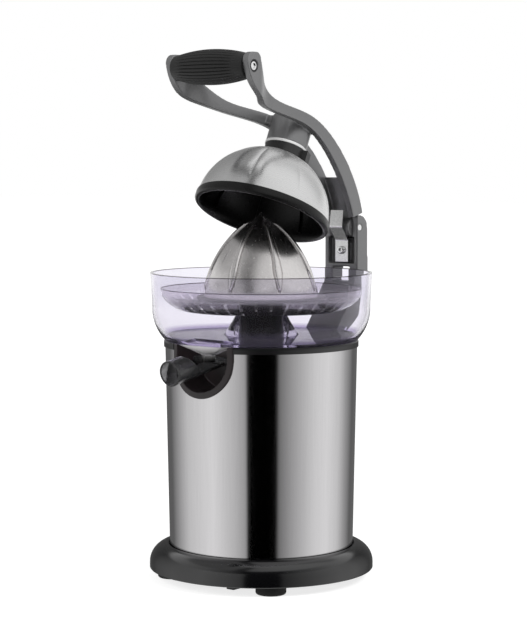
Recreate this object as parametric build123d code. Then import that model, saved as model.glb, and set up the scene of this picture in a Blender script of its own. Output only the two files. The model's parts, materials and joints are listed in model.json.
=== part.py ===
from build123d import *
from math import acos, asin, cos, hypot, pi, radians, sin, sqrt, tan
import os

os.makedirs("parts", exist_ok=True)

# An electric citrus juicer with a lever press. Millimetres and degrees.
# The floor is z = 0, the reamer turns about Z, the spout looks along -Y
# and the press arm hinges on a post at +Y. The arm is drawn raised.
# Pieces are drawn about the reamer, which stands ahead of the origin.
axis_ahead = 5.1

# Feet and base
foot_radius = 13.5
foot_height = 9.0
foot_pitch = 114.0
foot_stud_radius = 3.5
foot_round = 2.2
base_radius = 101.3
base_height = 22.0
base_round = 17.0
base_wall = 2.6
base_inner_radius = 64.0
cover_thickness = 3.0
cover_gap = 0.3
cleat_size = 8.0
cleat_spread = 24.0
cleat_clearance = 2.0
vent_count = 12
vent_width = 3.0
vent_middle_share = 0.55
vent_length_share = 0.45
inlet_radius = 5.0
inlet_edge = 0.8
inlet_flange_reach = 1.6
cord_radius = 3.2

# Steel shell and the collar on top of it
shell_bottom_radius = 83.0
shell_top_radius = 86.6
shell_height = 182.0
shell_wall = 0.8
shell_seat = 3.0
seat_gap = 0.4
collar_overhang = 1.2
collar_width = 7.3
collar_height = 6.0
collar_round = 1.5
skirt_depth = 12.0
skirt_wall = 3.0
deck_drop = 4.0
deck_thickness = 3.0
turret_radius = 19.5
turret_flare = 2.5
turret_height = 41.0
turret_wall = 2.6
switch_half = 6.4
switch_height = 6.5
switch_shelf_share = 0.38
switch_inner_gap = 1.6
switch_outer_gap = 2.0
plunger_half = 1.4
plunger_half_width = 2.0
plunger_gap = 0.1
plunger_root = 1.0
plunger_lift = 0.3
seal_width = 4.0
seal_gap = 0.15

# Tie rods between base and deck
tie_radius = 2.5
tie_circle = 71.0
tie_boss_radius = 5.5
tie_boss_depth = 14.0
tie_nut_height = 3.0
tie_nut_share = 1.8
screw_radius = 2.0
screw_head_radius = 3.8
screw_head_height = 2.6

# Spout frame, pocket and flip spout
frame_half_width = 34.0
frame_band = 5.5
frame_drop = 40.4
frame_proud = 1.0
lug_reach = 1.6
lug_size = 4.0
pocket_depth = 36.0
pocket_wall = 2.5
spout_radius = 11.3
spout_wall = 1.7
spout_length = 64.0
spout_mouth_length = 17.0
spout_rise = 6.3
spout_slope = 10.5
spout_pivot_drop = 9.6
spout_hub_radius = 4.2
spout_pin_radius = 2.0
spout_hub_back = 2.0
spout_hub_clearance = 1.4
spout_hub_lift = 1.0
spout_tray_share = 0.65
pin_gap = 0.05
side_gap = 0.4

# Juice bowl
bowl_rim_radius = 100.0
bowl_bend_radius = 98.2
bowl_foot_radius = 87.0
bowl_height = 60.5
bowl_bend_height = 30.6
bowl_curve_inset = 3.8
bowl_curve_height = 11.0
bowl_wall = 2.5
bowl_tube_gap = 0.6
bowl_tube_wall = 2.2
bowl_cone_radius = 33.7
bowl_cone_height = 20.0
bowl_cone_step = 0.5
strainer_shelf = 3.6
strainer_level = 26.0
funnel_margin = 1.0
funnel_width = 50.0
funnel_depth = 24.0
funnel_drop = 9.0
nozzle_radius = 6.0
nozzle_wall = 1.7
nozzle_length = 6.0
nozzle_setback = 13.0

# Strainer dish
strainer_rim_gap = 4.7
strainer_slope = 29.0
strainer_height = 20.6
strainer_band = 6.0
strainer_wall = 1.5
strainer_taper = 0.6
strainer_belly = 5.5
strainer_sag = 2.0
strainer_slots = 40
slot_width = 2.0
slot_share = 0.62
strainer_gap = 0.5

# Reamer and drive shaft
reamer_radius = 51.5
reamer_height = 76.0
reamer_wall = 1.0
reamer_waist_share = 0.695
reamer_waist_level = 0.54
reamer_neck_radius = 8.0
reamer_neck_level = 0.9
reamer_point_radius = 2.2
reamer_point_height = 4.0
reamer_ribs = 7
rib_height = 1.4
rib_width = 5.5
rib_foot = 7.0
rib_top_level = 0.885
rib_turn = -83.5
leaf_widest = 0.3
leaf_blunt = 0.2
reamer_flange_radius = 58.0
reamer_flange = 3.0
reamer_lift = 8.0
core_clearance = 1.4
core_tube_wall = 3.0
core_tube_foot = 5.0
core_room_share = 0.72
core_room_rise = 3.0
core_crown = 9.0
core_crown_level = 0.5
core_web = 2.0
press_travel = 3.0
shaft_flats = 8.0
shaft_gap = 0.05
bush_height = 3.0
bush_clearance = 0.4
shaft_collar_radius = 14.5
shaft_collar_height = 3.0
shaft_depth_in_reamer = 44.0
spring_wire = 0.65
spring_gap = 0.6
spring_turns = 7

# Motor and gears
motor_radius = 44.0
motor_flat = 33.0
motor_screw_inset = 8.16
motor_drop = 25.0
coil_lift = 7.0
coil_yoke = 8.0
coil_share = 0.86
coil_gap = 0.3
coil_clearance = 0.8
coil_round = 3.0
stack_height = 40.0
rotor_radius = 21.5
air_gap = 0.7
armature_slots = 12
slot_root_share = 0.62
slot_half = 1.3
wound_share = 0.82
commutator_gap = 1.0
commutator_length = 11.0
bearing_gap = 4.0
shaft_end = 1.0
motor_shaft_radius = 4.0
pinion_shaft_radius = 2.5
bearing_radius = 11.0
bearing_height = 7.0
bearing_cup_wall = 3.0
shaft_room = 1.0
fan_radius = 30.0
fan_blades = 9
fan_hub_radius = 8.0
fan_gap = 2.0
fan_top_gap = 1.5
fan_disc = 1.6
blade_turn = 25.0
blade_tip_gap = 2.5
blade_half = 0.8
pressure_angle = 20.0
tooth_addendum = 0.75
tooth_dedendum = 1.1
tooth_share = 0.44
motor_module = 0.9
motor_pinion_teeth = 12
idler_wheel_teeth = 60
output_module = 1.2
idler_pinion_teeth = 12
output_teeth = 42
wheel_width = 7.0
output_width = 8.0
gear_step = 2.0
gear_room = 1.6
gear_lip = 0.5
wheel_gap = 1.0
hub_wall = 1.0
hub_floor = 0.8
cover_bush_wall = 4.0
cover_bush_gap = 0.3
case_screw_radius = 1.6
case_head_share = 1.9
case_head_height = 2.0
ear_radius = 5.0
case_wall = 2.4
case_floor = 3.0
case_hang = 4.0
idler_axle_radius = 3.0
pillar_radius = 4.0
bracket_drop = 2.0
bracket_thickness = 3.0
bracket_margin = 5.0
bracket_rail = 1.0
bracket_cup_wall = 2.5
brush_inset = 2.0
brush_half = 3.0
brush_gap = 0.3
holder_wall = 2.0
holder_reach = 4.0

# Rear post and hinge
post_half_width = 19.2
post_depth = 17.0
post_setback = 20.0
post_bowl_gap = 3.5
post_neck_share = 0.62
post_heel_inset = 5.5
post_heel_rise = 18.0
post_screw_share = 0.7
post_cheek = 6.8
recess_side = 4.0
post_foot_reach = 40.0
post_foot_gap = 0.5
hinge_height = 313.5
hinge_inset = 4.0
hinge_pin_radius = 3.2
cheek_radius = 11.5
window_height = 14.0
window_half_width = 9.5
recess_sill = 3.0
recess_depth = 6.0
leaf_width = 14.6
leaf_thickness = 0.8
leaf_crest = 9.6
leaf_return = 2.3
leaf_sink = 0.6
leaf_edge = 1.5
leaf_bend_drop = 3.0
leaf_crest_rise = 0.5
leaf_rise = 16.0
leaf_bend_radius = 3.0
leaf_screw_length = 12.0

# Press arm, grip and dome
press_angle = 24.5
press_setback = 5.1
dome_clearance = 2.35
neck_setback = 7.0
bar_thickness = 6.6
bar_root_half_width = 19.2
bar_boss_half_width = 25.0
bar_middle_half_width = 31.5
bar_heel_half_width = 37.6
bar_grip_half_width = 47.0
bar_depth = 15.0
bar_waist = 9.8
bar_heel = 19.0
bar_eye = 18.0
bar_bow = 12.3
bar_gap = 0.4
bar_root_setback = 3.0
bar_end_reach = 12.2
bar_end_lean = 11.0
bar_end_shift = 2.0
bar_end_round = 7.5
bar_flare_lead = 4.0
bar_flare_length = 21.7
waist_share = (0.36, 0.21)
sole_share = (0.63, 0.36)
heel_share = (0.89, 0.695)
plate_share = 0.42
plate_thickness = 4.2
grip_ahead = 67.0
grip_level = 457.6
grip_seat_gap = 0.8
grip_radius = 15.6
grip_end_radius = 10.7
grip_flutes = 18
grip_flute_depth = 1.3
grip_flute_width = 1.6
grip_flute_share = 0.86
grip_rod_radius = 5.0
grip_screw_radius = 3.0
grip_screw_depth = 14.0
grip_head_radius = 5.2
grip_head_height = 1.6
grip_sink = 2.2
knuckle_radius = 9.0
stem_share = 0.6
boss_radius = 19.0
boss_length = 25.2
boss_overlap = 3.0
saddle_depth = 8.0
dome_radius = 60.7
dome_height = 55.1
dome_wall = 1.2
dome_creases = 8
crease_depth = 0.5
crease_low = 0.12
crease_high = 0.86
crease_width = 5.0
dome_bolt_radius = 4.0
dome_bolt_depth = 18.5
bolt_head_radius = 6.0
bolt_head_height = 2.0
liner_wall = 2.0
liner_rim_width = 1.3
liner_rim_height = 8.5
liner_rim_round = 1.0
fin_count = 8
fin_thickness = 2.0
fin_height = 2.6
fin_start = 14.0
neck_radius = 18.6
neck_length = 6.85
key_reach = 5.0
key_width = 10.0
key_turn = 20.0
ring_height = 2.5
ring_overhang = 0.8
fit_gap = 0.2

# Levels worked out from the sizes above
base_z = foot_height
base_top = base_z + base_height
shell_z = base_top - shell_seat
shell_top = shell_z + shell_height
deck_top = shell_top - deck_drop
deck_z = deck_top - deck_thickness
collar_top = shell_top + collar_height
collar_radius = shell_top_radius + collar_overhang
turret_top = deck_top + turret_height
bowl_z = collar_top
bowl_floor = bowl_z + bowl_wall
bowl_top = bowl_z + bowl_height
strainer_z = bowl_z + strainer_level
strainer_radius = bowl_bend_radius - bowl_wall - strainer_rim_gap
strainer_floor_radius = strainer_radius - strainer_slope
reamer_z = turret_top + reamer_lift
reamer_tip = reamer_z + reamer_height
case_top = deck_z - case_hang
case_cover_z = case_top - case_floor
output_z = case_cover_z - gear_step - output_width - gear_step
wheel_z = output_z - gear_step - wheel_gap - wheel_width
case_z = wheel_z - gear_step - case_floor
gear_distance = motor_module * (motor_pinion_teeth + idler_wheel_teeth) / 2
post_front = bowl_rim_radius + post_setback
post_rear = post_front + post_depth
hinge_y = post_front + hinge_inset
rim_z = reamer_tip + dome_clearance + liner_wall + dome_wall + fit_gap - dome_height


def ring(outer, inner, low, high):
    """A plain ring about Z between two levels."""
    height = high - low
    body = Pos(0, 0, low) * Cylinder(outer, height, align=(Align.CENTER, Align.CENTER, Align.MIN))
    return body - Pos(0, 0, low) * Cylinder(inner, height, align=(Align.CENTER, Align.CENTER, Align.MIN))


def post(radius, low, high, x=0.0, y=0.0):
    """A plain round bar along Z between two levels."""
    bar = Cylinder(radius, high - low, align=(Align.CENTER, Align.CENTER, Align.MIN))
    return Pos(x, y, low) * bar


def block(x0, x1, y0, y1, z0, z1):
    """A box between two corners."""
    box = Box(x1 - x0, y1 - y0, z1 - z0, align=(Align.MIN, Align.MIN, Align.MIN))
    return Pos(x0, y0, z0) * box


def crossbar(radius, half_length, y, z):
    """A round bar along X."""
    return Pos(0, y, z) * Rot(0, 90, 0) * Cylinder(radius, 2 * half_length)


def turned(edges):
    """A profile of edges in the half-plane (radius, height), turned about Z."""
    return revolve(Plane.XZ * make_face(edges), Axis.Z)


def side_slab(face, low_x, high_x):
    """A face drawn in (Y, Z), extruded along X."""
    return Pos(low_x, 0, 0) * extrude(Plane.YZ * face, high_x - low_x)


def closed(*points):
    """A closed outline of straight lines."""
    return Polyline(*points, close=True)


def around(count, radius, start=0.0):
    """Evenly spaced places about Z, each turned to face outward."""
    return [Rot(0, 0, start + 360.0 * k / count) * Pos(radius, 0, 0) for k in range(count)]


def corners(pitch):
    """The four corners of a square about Z."""
    half = pitch / 2
    return [(half, half), (-half, half), (-half, -half), (half, -half)]


def together(solids):
    """Separate like solids kept as one node."""
    return Compound(list(solids))


def save(name, shape):
    """Write one sub-part under its name."""
    export_step(Pos(0, -axis_ahead, 0) * shape, f"parts/{name}.step")


def shell_radius(level):
    """Outer radius of the steel shell at a level."""
    share = (level - shell_z) / shell_height
    return shell_bottom_radius + (shell_top_radius - shell_bottom_radius) * share


# Rubber feet: turned pads with a stud pressed into the bottom cover
foot_pad = fillet(post(foot_radius, 0, base_z).edges().sort_by(Axis.Z)[0], foot_round)
foot_stud = post(foot_stud_radius, base_z, base_z + cover_thickness + 2)
foot = foot_pad + foot_stud
save("rubber_feet", together(Pos(x, y, 0) * foot for x, y in corners(foot_pitch)))

# Base ring: a moulded skirt with a quarter-round shoulder and a groove for the shell
shoulder_r = base_radius - base_round
shoulder_z = base_top - base_round
web_z = shell_z - shell_seat
inner_round = base_round - base_wall
web_r = shoulder_r + sqrt(inner_round ** 2 - (web_z - shoulder_z) ** 2)
half_turn = sqrt(0.5)
outer_mid = (shoulder_r + base_round * half_turn, shoulder_z + base_round * half_turn)
base_outline = Curve() + [
    Line((base_inner_radius, base_z), (base_radius, base_z)),
    Line((base_radius, base_z), (base_radius, shoulder_z)),
    ThreePointArc((base_radius, shoulder_z), outer_mid, (shoulder_r, base_top)),
    Line((shoulder_r, base_top), (base_inner_radius, base_top)),
    Line((base_inner_radius, base_top), (base_inner_radius, base_z)),
]
arc_angle = asin((web_z - shoulder_z) / inner_round) / 2
inner_mid = (shoulder_r + inner_round * cos(arc_angle), shoulder_z + inner_round * sin(arc_angle))
cavity_outline = Curve() + [
    Line((base_inner_radius - 1, base_z), (base_radius - base_wall, base_z)),
    Line((base_radius - base_wall, base_z), (base_radius - base_wall, shoulder_z)),
    ThreePointArc((base_radius - base_wall, shoulder_z), inner_mid, (web_r, web_z)),
    Line((web_r, web_z), (base_inner_radius - 1, web_z)),
    Line((base_inner_radius - 1, web_z), (base_inner_radius - 1, base_z)),
]
base_ring = turned(base_outline) - turned(cavity_outline)
groove_inner = shell_bottom_radius - shell_wall - seat_gap
base_ring -= ring(shell_bottom_radius + 2 * seat_gap, groove_inner, shell_z, base_top)
cover_z = base_z
cover_top = cover_z + cover_thickness
cover_screw_circle = (base_inner_radius + web_r) / 2 + 2
for place in around(4, cover_screw_circle):
    boss = place * (post(tie_boss_radius, cover_top, web_z))
    base_ring += boss - place * post(screw_radius, cover_top, web_z)
for place in around(4, tie_circle, 45):
    base_ring -= place * post(tie_radius + fit_gap, web_z, base_top)
inlet_z = cover_top + inlet_radius + inlet_edge
inlet_hole = Pos(0, base_radius, inlet_z) * Rot(90, 0, 0) * Cylinder(inlet_radius, 6 * base_wall)
base_ring -= inlet_hole
save("base_ring", base_ring)

# Cord inlet: a rubber bush in the rear of the base
inlet_flange = inlet_radius + inlet_flange_reach
inlet_inner_y = base_radius - base_round / 2
inlet_bush = Pos(0, base_radius - base_wall, inlet_z) * Rot(90, 0, 0) * Cylinder(inlet_radius, 3 * base_wall)
inlet_bush &= block(-inlet_flange, inlet_flange, inlet_inner_y, base_radius, base_z, base_top)
inlet_bore = Pos(0, base_radius, inlet_z) * Rot(90, 0, 0) * Cylinder(cord_radius, 12 * base_wall)
save("cord_inlet", inlet_bush - inlet_bore)

# Bottom cover: a vented disc with foot sockets, screw holes and two cord cleats
bottom_cover = post(base_radius - base_wall - cover_gap, cover_z, cover_top)
for x, y in corners(foot_pitch):
    bottom_cover -= post(foot_stud_radius, cover_z, cover_top, x, y)
for place in around(4, cover_screw_circle):
    bottom_cover -= place * post(screw_radius + fit_gap, cover_z, cover_top)
    bottom_cover -= place * post(screw_head_radius + fit_gap, cover_z, cover_z + cover_thickness / 2)
vent_middle = base_inner_radius * vent_middle_share
vent_length = base_inner_radius * vent_length_share
for place in around(vent_count, vent_middle):
    slot = Pos(0, 0, cover_z) * extrude(SlotOverall(vent_length, vent_width), cover_thickness)
    bottom_cover -= place * slot
cleat_y = -foot_pitch / 2 - cleat_size
cleat_drop = foot_height - cleat_clearance
for side in (-1, 1):
    stem_x = side * cleat_spread
    bottom_cover += block(stem_x - cleat_size / 2, stem_x + cleat_size / 2,
                          cleat_y - cleat_size / 4, cleat_y + cleat_size / 4, cover_z - cleat_drop, cover_z)
    bottom_cover += block(stem_x - cleat_size / 2, stem_x + cleat_size / 2,
                          cleat_y - cleat_size, cleat_y + cleat_size / 4,
                          cover_z - cleat_drop, cover_z - cleat_drop + cleat_size / 4)
save("bottom_cover", bottom_cover)

# Cover screws: pan heads sunk into the cover
cover_screw = post(screw_head_radius, cover_z, cover_z + cover_thickness / 2)
cover_screw += post(screw_radius, cover_z, web_z - 1)
save("bottom_cover_screws", together(place * cover_screw for place in around(4, cover_screw_circle)))

# Spout frame outline: a U, open at the top, shared with the shell's cut-out
frame_top = bowl_z - post_foot_gap
frame_low = shell_top - frame_drop
frame_bend = frame_low + frame_half_width


def u_shape(half_width, low, high):
    """A U-shaped face in (X, Z): straight sides over a half circle."""
    bend = low + half_width
    outline = Curve() + [
        Line((-half_width, high), (-half_width, bend)),
        ThreePointArc((-half_width, bend), (0, low), (half_width, bend)),
        Line((half_width, bend), (half_width, high)),
        Line((half_width, high), (-half_width, high)),
    ]
    return Plane.XZ * make_face(outline)


# Steel shell: a rolled, slightly tapered tube with the spout cut-out and a notch for the post
shell_outline = closed(
    (shell_bottom_radius - shell_wall, shell_z), (shell_bottom_radius, shell_z),
    (shell_top_radius, shell_top), (shell_top_radius - shell_wall, shell_top))
steel_shell = turned(shell_outline)
shell_cut = u_shape(frame_half_width + cover_gap, frame_low - cover_gap, shell_top + 1)
steel_shell -= extrude(shell_cut, shell_top_radius + 1)
post_notch = post_half_width + cover_gap
steel_shell -= block(-post_notch, post_notch, 0, shell_top_radius + 1, deck_top - cover_gap, shell_top + 1)
save("steel_shell", steel_shell)

# Top collar: rim on the shell, skirt inside it, deck plate and the hollow turret
collar_inner = collar_radius - collar_width
skirt_radius = shell_radius(shell_top - skirt_depth) - shell_wall - cover_gap
top_collar = ring(collar_radius, collar_inner, shell_top, collar_top)
top_collar = fillet(top_collar.edges().group_by(Axis.Z)[-1].sort_by(SortBy.LENGTH)[-1], collar_round)
top_collar += ring(skirt_radius, skirt_radius - skirt_wall, shell_top - skirt_depth, shell_top)
top_collar += post(skirt_radius - skirt_wall / 2, deck_z, deck_top)
turret_outline = closed(
    (0, deck_top), (turret_radius + turret_flare, deck_top),
    (turret_radius, deck_top + turret_height / 2), (turret_radius, turret_top), (0, turret_top))
turret_room = turret_radius - turret_wall
turret_roof = turret_top - turret_wall
top_collar += turned(turret_outline)
top_collar -= post(turret_room, deck_z, turret_roof)
bush_radius = shaft_flats
shaft_corner = shaft_flats / sqrt(3)
top_collar -= post(bush_radius, turret_roof, turret_top)
switch_in = bush_radius + switch_inner_gap
switch_out = turret_room - switch_outer_gap
switch_shelf = deck_top + turret_height * switch_shelf_share
top_collar += block(switch_in, turret_room + turret_wall / 2, -switch_half - 1, switch_half + 1,
                    deck_z, switch_shelf) & post(turret_radius, deck_z, switch_shelf)
for place in around(4, tie_circle, 45):
    top_collar += place * post(tie_boss_radius, deck_z - tie_boss_depth, deck_z)
    top_collar -= place * post(tie_radius, deck_z - tie_boss_depth, deck_z + 1)
frame_notch = frame_half_width + cover_gap
pocket_back = shell_top_radius - pocket_depth
top_collar -= block(-frame_notch, frame_notch, -collar_radius - 1, -pocket_back + cover_gap,
                    frame_low, collar_top + 1)
top_collar -= block(-post_notch, post_notch, bowl_foot_radius - post_foot_reach, collar_radius + 1,
                    deck_top, collar_top + 1)
spring_seat = post(bush_radius - fit_gap, deck_z, deck_top)
spring_seat -= post(shaft_corner + 3 * fit_gap, deck_z, deck_top)
bridge_half = turret_wall
seat_bridge = block(-turret_room - 1, switch_in, -bridge_half, bridge_half, deck_z, deck_top)
seat_bridge += block(-bridge_half, bridge_half, -turret_room - 1, turret_room + 1, deck_z, deck_top)
top_collar += spring_seat + (seat_bridge - post(bush_radius - 1, deck_z, deck_top))
post_screw_y = (skirt_radius - skirt_wall - 5, skirt_radius - skirt_wall - 18)
post_screw_x = post_half_width - 7
post_screw_places = [(x, y) for x in (-post_screw_x, post_screw_x) for y in post_screw_y]
for x, y in post_screw_places:
    top_collar -= post(screw_radius + fit_gap, deck_z, deck_top, x, y)
save("top_collar", top_collar)

# Tie rods: headed rods that clamp base, shell and collar together
tie_rod = post(tie_radius, web_z, deck_z - 1)
tie_nut = RegularPolygon(tie_radius * tie_nut_share, 6)
tie_rod += Pos(0, 0, web_z - tie_nut_height) * extrude(tie_nut, tie_nut_height)
save("tie_rods", together(place * tie_rod for place in around(4, tie_circle, 45)))

# Shaft bush and seal in the turret's roof
bush_low = turret_roof - bush_height
shaft_bush = ring(bush_radius, shaft_corner + shaft_gap, bush_low, turret_top)
save("shaft_bush", shaft_bush)
seal_bore = shaft_corner + seal_gap
seal_rim = bush_radius + seal_width
seal_top = reamer_z - reamer_flange - press_travel - 2 * fit_gap
seal_step = (turret_top + seal_top) / 2
seal_outline = closed(
    (seal_bore, turret_top), (seal_rim, turret_top), (seal_rim, seal_step),
    (bush_radius - seal_gap, seal_step), (seal_bore + turret_wall / 3, seal_top), (seal_bore, seal_top))
save("turret_seal", turned(seal_outline))

# Spout frame: the U bezel, flush with the collar, and the pocket behind it
frame_radius = shell_top_radius + frame_proud
spout_frame = extrude(u_shape(frame_half_width, frame_low, frame_top), frame_radius + 1)
spout_frame &= post(frame_radius, frame_low - 1, frame_top + 1)
spout_frame -= block(-frame_half_width - 1, frame_half_width + 1, -pocket_back, 1,
                     frame_low - 1, frame_top + 1)
pocket_half = frame_half_width - frame_band
pocket = extrude(u_shape(pocket_half, frame_low + frame_band, frame_top + 1), frame_radius + 1)
pocket -= block(-frame_half_width, frame_half_width, -pocket_back - pocket_wall, 1, frame_low, frame_top + 2)
spout_frame -= pocket
pivot_y = -pocket_back - pocket_wall - spout_hub_radius - spout_hub_clearance
pivot_z = shell_top - spout_pivot_drop
pin_half = pocket_half + frame_band / 2
spout_frame -= crossbar(spout_pin_radius, pin_half, pivot_y, pivot_z)
lug_z = frame_bend - frame_half_width / 2
lug_y = -sqrt(shell_radius(lug_z) ** 2 - (frame_half_width + lug_reach) ** 2) + 2 * shell_wall
for side in (-1, 1):
    near = side * (frame_half_width - frame_band)
    far = side * (frame_half_width + lug_reach)
    spout_frame += block(min(near, far), max(near, far), lug_y, lug_y + lug_size, lug_z, lug_z + 2 * lug_size)
save("spout_frame", spout_frame)

# Spout pin: a plain rod across the pocket
save("spout_pin", crossbar(spout_pin_radius, pin_half, pivot_y, pivot_z))

# Spout: a tube at the mouth that opens into a shallow tray under the nozzle
spout_floor = spout_radius - spout_rise
tray_top = -spout_floor
mouth_y = -spout_length + spout_mouth_length
hub_z = -spout_radius + spout_hub_radius + spout_hub_lift
spout_tube = Pos(0, -spout_length / 2, 0) * Rot(90, 0, 0) * Cylinder(spout_radius, spout_length)
spout_bore = Pos(0, -spout_length / 2 - spout_wall, 0) * Rot(90, 0, 0)
spout_tube -= spout_bore * Cylinder(spout_radius - spout_wall, spout_length)
tray_cut = closed(
    (1, tray_top), (mouth_y + spout_mouth_length * spout_tray_share, tray_top),
    (mouth_y, spout_radius + 1), (1, spout_radius + 1))
spout_tube -= side_slab(make_face(tray_cut), -spout_radius - 1, spout_radius + 1)
hub_half = sqrt(pocket_half ** 2 - (frame_bend - pivot_z + spout_hub_radius) ** 2) - side_gap
spout_tube += crossbar(spout_hub_radius, hub_half, spout_hub_back, hub_z)
spout_tube -= crossbar(spout_pin_radius + pin_gap, hub_half + 1, spout_hub_back, hub_z)
spout_place = Pos(0, pivot_y, pivot_z) * Rot(spout_slope, 0, 0) * Pos(0, -spout_hub_back, -hub_z)
save("spout", spout_place * spout_tube)

# Juice bowl: a clear moulding with a tube over the turret and a funnel in front
tube_inner = turret_radius + bowl_tube_gap
tube_outer = tube_inner + bowl_tube_wall
bend_z = bowl_z + bowl_bend_height
bowl_curve = (bowl_bend_radius - bowl_curve_inset, bowl_z + bowl_curve_height)
shelf_z = strainer_z - bowl_wall
cone_z = bowl_floor + bowl_cone_height
cone_top_radius = tube_outer + bowl_cone_step
bowl_outline = Curve() + [
    Line((tube_inner, bowl_z), (bowl_foot_radius, bowl_z)),
    ThreePointArc((bowl_foot_radius, bowl_z), bowl_curve, (bowl_bend_radius, bend_z)),
    Line((bowl_bend_radius, bend_z), (bowl_rim_radius, bowl_top)),
    Line((bowl_rim_radius, bowl_top), (bowl_rim_radius - bowl_wall, bowl_top)),
    Line((bowl_rim_radius - bowl_wall, bowl_top), (bowl_bend_radius - bowl_wall, bend_z)),
    ThreePointArc((bowl_bend_radius - bowl_wall, bend_z),
                  (bowl_curve[0] - bowl_wall, bowl_curve[1] + 0.4 * bowl_wall),
                  (bowl_foot_radius - bowl_wall, bowl_floor)),
    Line((bowl_foot_radius - bowl_wall, bowl_floor), (bowl_cone_radius, bowl_floor)),
    Line((bowl_cone_radius, bowl_floor), (cone_top_radius, cone_z)),
    Line((cone_top_radius, cone_z), (cone_top_radius, shelf_z)),
    Line((cone_top_radius, shelf_z), (tube_outer + strainer_shelf, shelf_z)),
    Line((tube_outer + strainer_shelf, shelf_z), (tube_outer + strainer_shelf, strainer_z)),
    Line((tube_outer + strainer_shelf, strainer_z), (tube_outer, strainer_z)),
    Line((tube_outer, strainer_z), (tube_outer, turret_top)),
    Line((tube_outer, turret_top), (tube_inner, turret_top)),
    Line((tube_inner, turret_top), (tube_inner, bowl_z)),
]
juice_bowl = turned(bowl_outline)
flare_z = deck_top + turret_height / 2
flare_at_bowl = turret_radius + turret_flare * (flare_z - bowl_z) / (flare_z - deck_top) + bowl_tube_gap
juice_bowl -= turned(closed((0, bowl_z), (flare_at_bowl, bowl_z), (tube_inner, flare_z), (0, flare_z)))
funnel_front = -bowl_foot_radius + funnel_margin
funnel_y = funnel_front + funnel_depth / 2
nozzle_y = funnel_front + nozzle_setback
nozzle_z = bowl_z - funnel_drop
nozzle_low = nozzle_z - nozzle_length
funnel_mouth = Pos(0, funnel_y, bowl_z) * Rectangle(funnel_width, funnel_depth)
funnel_throat = Pos(0, nozzle_y, nozzle_z) * Circle(nozzle_radius)
funnel = loft([funnel_throat.face(), funnel_mouth.face()])
funnel += post(nozzle_radius, nozzle_low, nozzle_z, 0, nozzle_y)
inner_width = funnel_width - 2 * bowl_wall
inner_depth = funnel_depth - 2 * bowl_wall
inner_mouth = Pos(0, funnel_y, bowl_z) * Rectangle(inner_width, inner_depth)
bore_radius = nozzle_radius - nozzle_wall
inner_throat = Pos(0, nozzle_y, nozzle_z + nozzle_wall) * Circle(bore_radius)
funnel -= loft([inner_throat.face(), inner_mouth.face()])
funnel -= post(bore_radius, nozzle_low, nozzle_z + nozzle_wall, 0, nozzle_y)
floor_hole = Pos(0, funnel_y, bowl_z) * extrude(Rectangle(inner_width, inner_depth), bowl_wall + 1)
juice_bowl = juice_bowl - floor_hole + funnel
save("juice_bowl", juice_bowl)

# Strainer: a clear moulded dish with a rim band and radial slots
strainer_top = strainer_z + strainer_height
band_z = strainer_top - strainer_band
dish_r = (strainer_radius + strainer_floor_radius) / 2
dish_mid = (dish_r + strainer_belly, (band_z + strainer_z) / 2 - strainer_sag)
band_r = strainer_radius - strainer_taper
dish_end = (strainer_floor_radius, strainer_z)
strainer_hole = tube_outer + strainer_gap
strainer_outline = Curve() + [
    Line((strainer_hole, strainer_z), dish_end),
    ThreePointArc(dish_end, dish_mid, (band_r, band_z)),
    Line((band_r, band_z), (strainer_radius, strainer_top)),
    Line((strainer_radius, strainer_top), (strainer_radius - strainer_wall, strainer_top)),
    Line((strainer_radius - strainer_wall, strainer_top), (band_r - strainer_wall, band_z)),
    ThreePointArc((band_r - strainer_wall, band_z),
                  (dish_mid[0] - 0.6 * strainer_wall, dish_mid[1] + 0.8 * strainer_wall),
                  (strainer_floor_radius, strainer_z + strainer_wall)),
    Line((strainer_floor_radius, strainer_z + strainer_wall), (strainer_hole, strainer_z + strainer_wall)),
    Line((strainer_hole, strainer_z + strainer_wall), (strainer_hole, strainer_z)),
]
strainer = turned(strainer_outline)
slot_tool = Pos(dish_r - 2 * slot_width, 0, strainer_z)
slot_tool *= Box(strainer_slope * slot_share, slot_width, strainer_height)
strainer -= [Rot(0, 0, 360 * k / strainer_slots) * slot_tool for k in range(strainer_slots)]
save("strainer", strainer)

# Reamer: a pressed steel cap with leaf-shaped ribs over a moulded core


def reamer_profile(inset):
    """Half outline of the cone, moved inward by an inset."""
    tip = reamer_tip - 2.0 * inset
    neck = (reamer_neck_radius - 0.8 * inset, reamer_z + reamer_height * reamer_neck_level - 0.8 * inset)
    waist_z = reamer_z + reamer_height * reamer_waist_level
    middle = (reamer_radius * reamer_waist_share - 0.8 * inset, waist_z - 0.6 * inset)
    foot_point = (reamer_radius - inset, reamer_z)
    return Curve() + [
        Line((0, reamer_z), foot_point),
        ThreePointArc(foot_point, middle, neck),
        Line(neck, (reamer_point_radius, tip - reamer_point_height)),
        Line((reamer_point_radius, tip - reamer_point_height), (0, tip)),
        Line((0, tip), (0, reamer_z)),
    ]


def leaf_prism(low, high, width, reach):
    """A leaf-shaped bar along X: pointed at both ends, widest below the middle."""
    widest = low + (high - low) * leaf_widest
    blunt = width * leaf_blunt
    outline = Curve() + [
        Line((0, low), (width / 2, widest)),
        Line((width / 2, widest), (blunt, high)),
        Line((blunt, high), (-blunt, high)),
        Line((-blunt, high), (-width / 2, widest)),
        Line((-width / 2, widest), (0, low)),
    ]
    return extrude(Plane.YZ * make_face(outline), reach)


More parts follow.
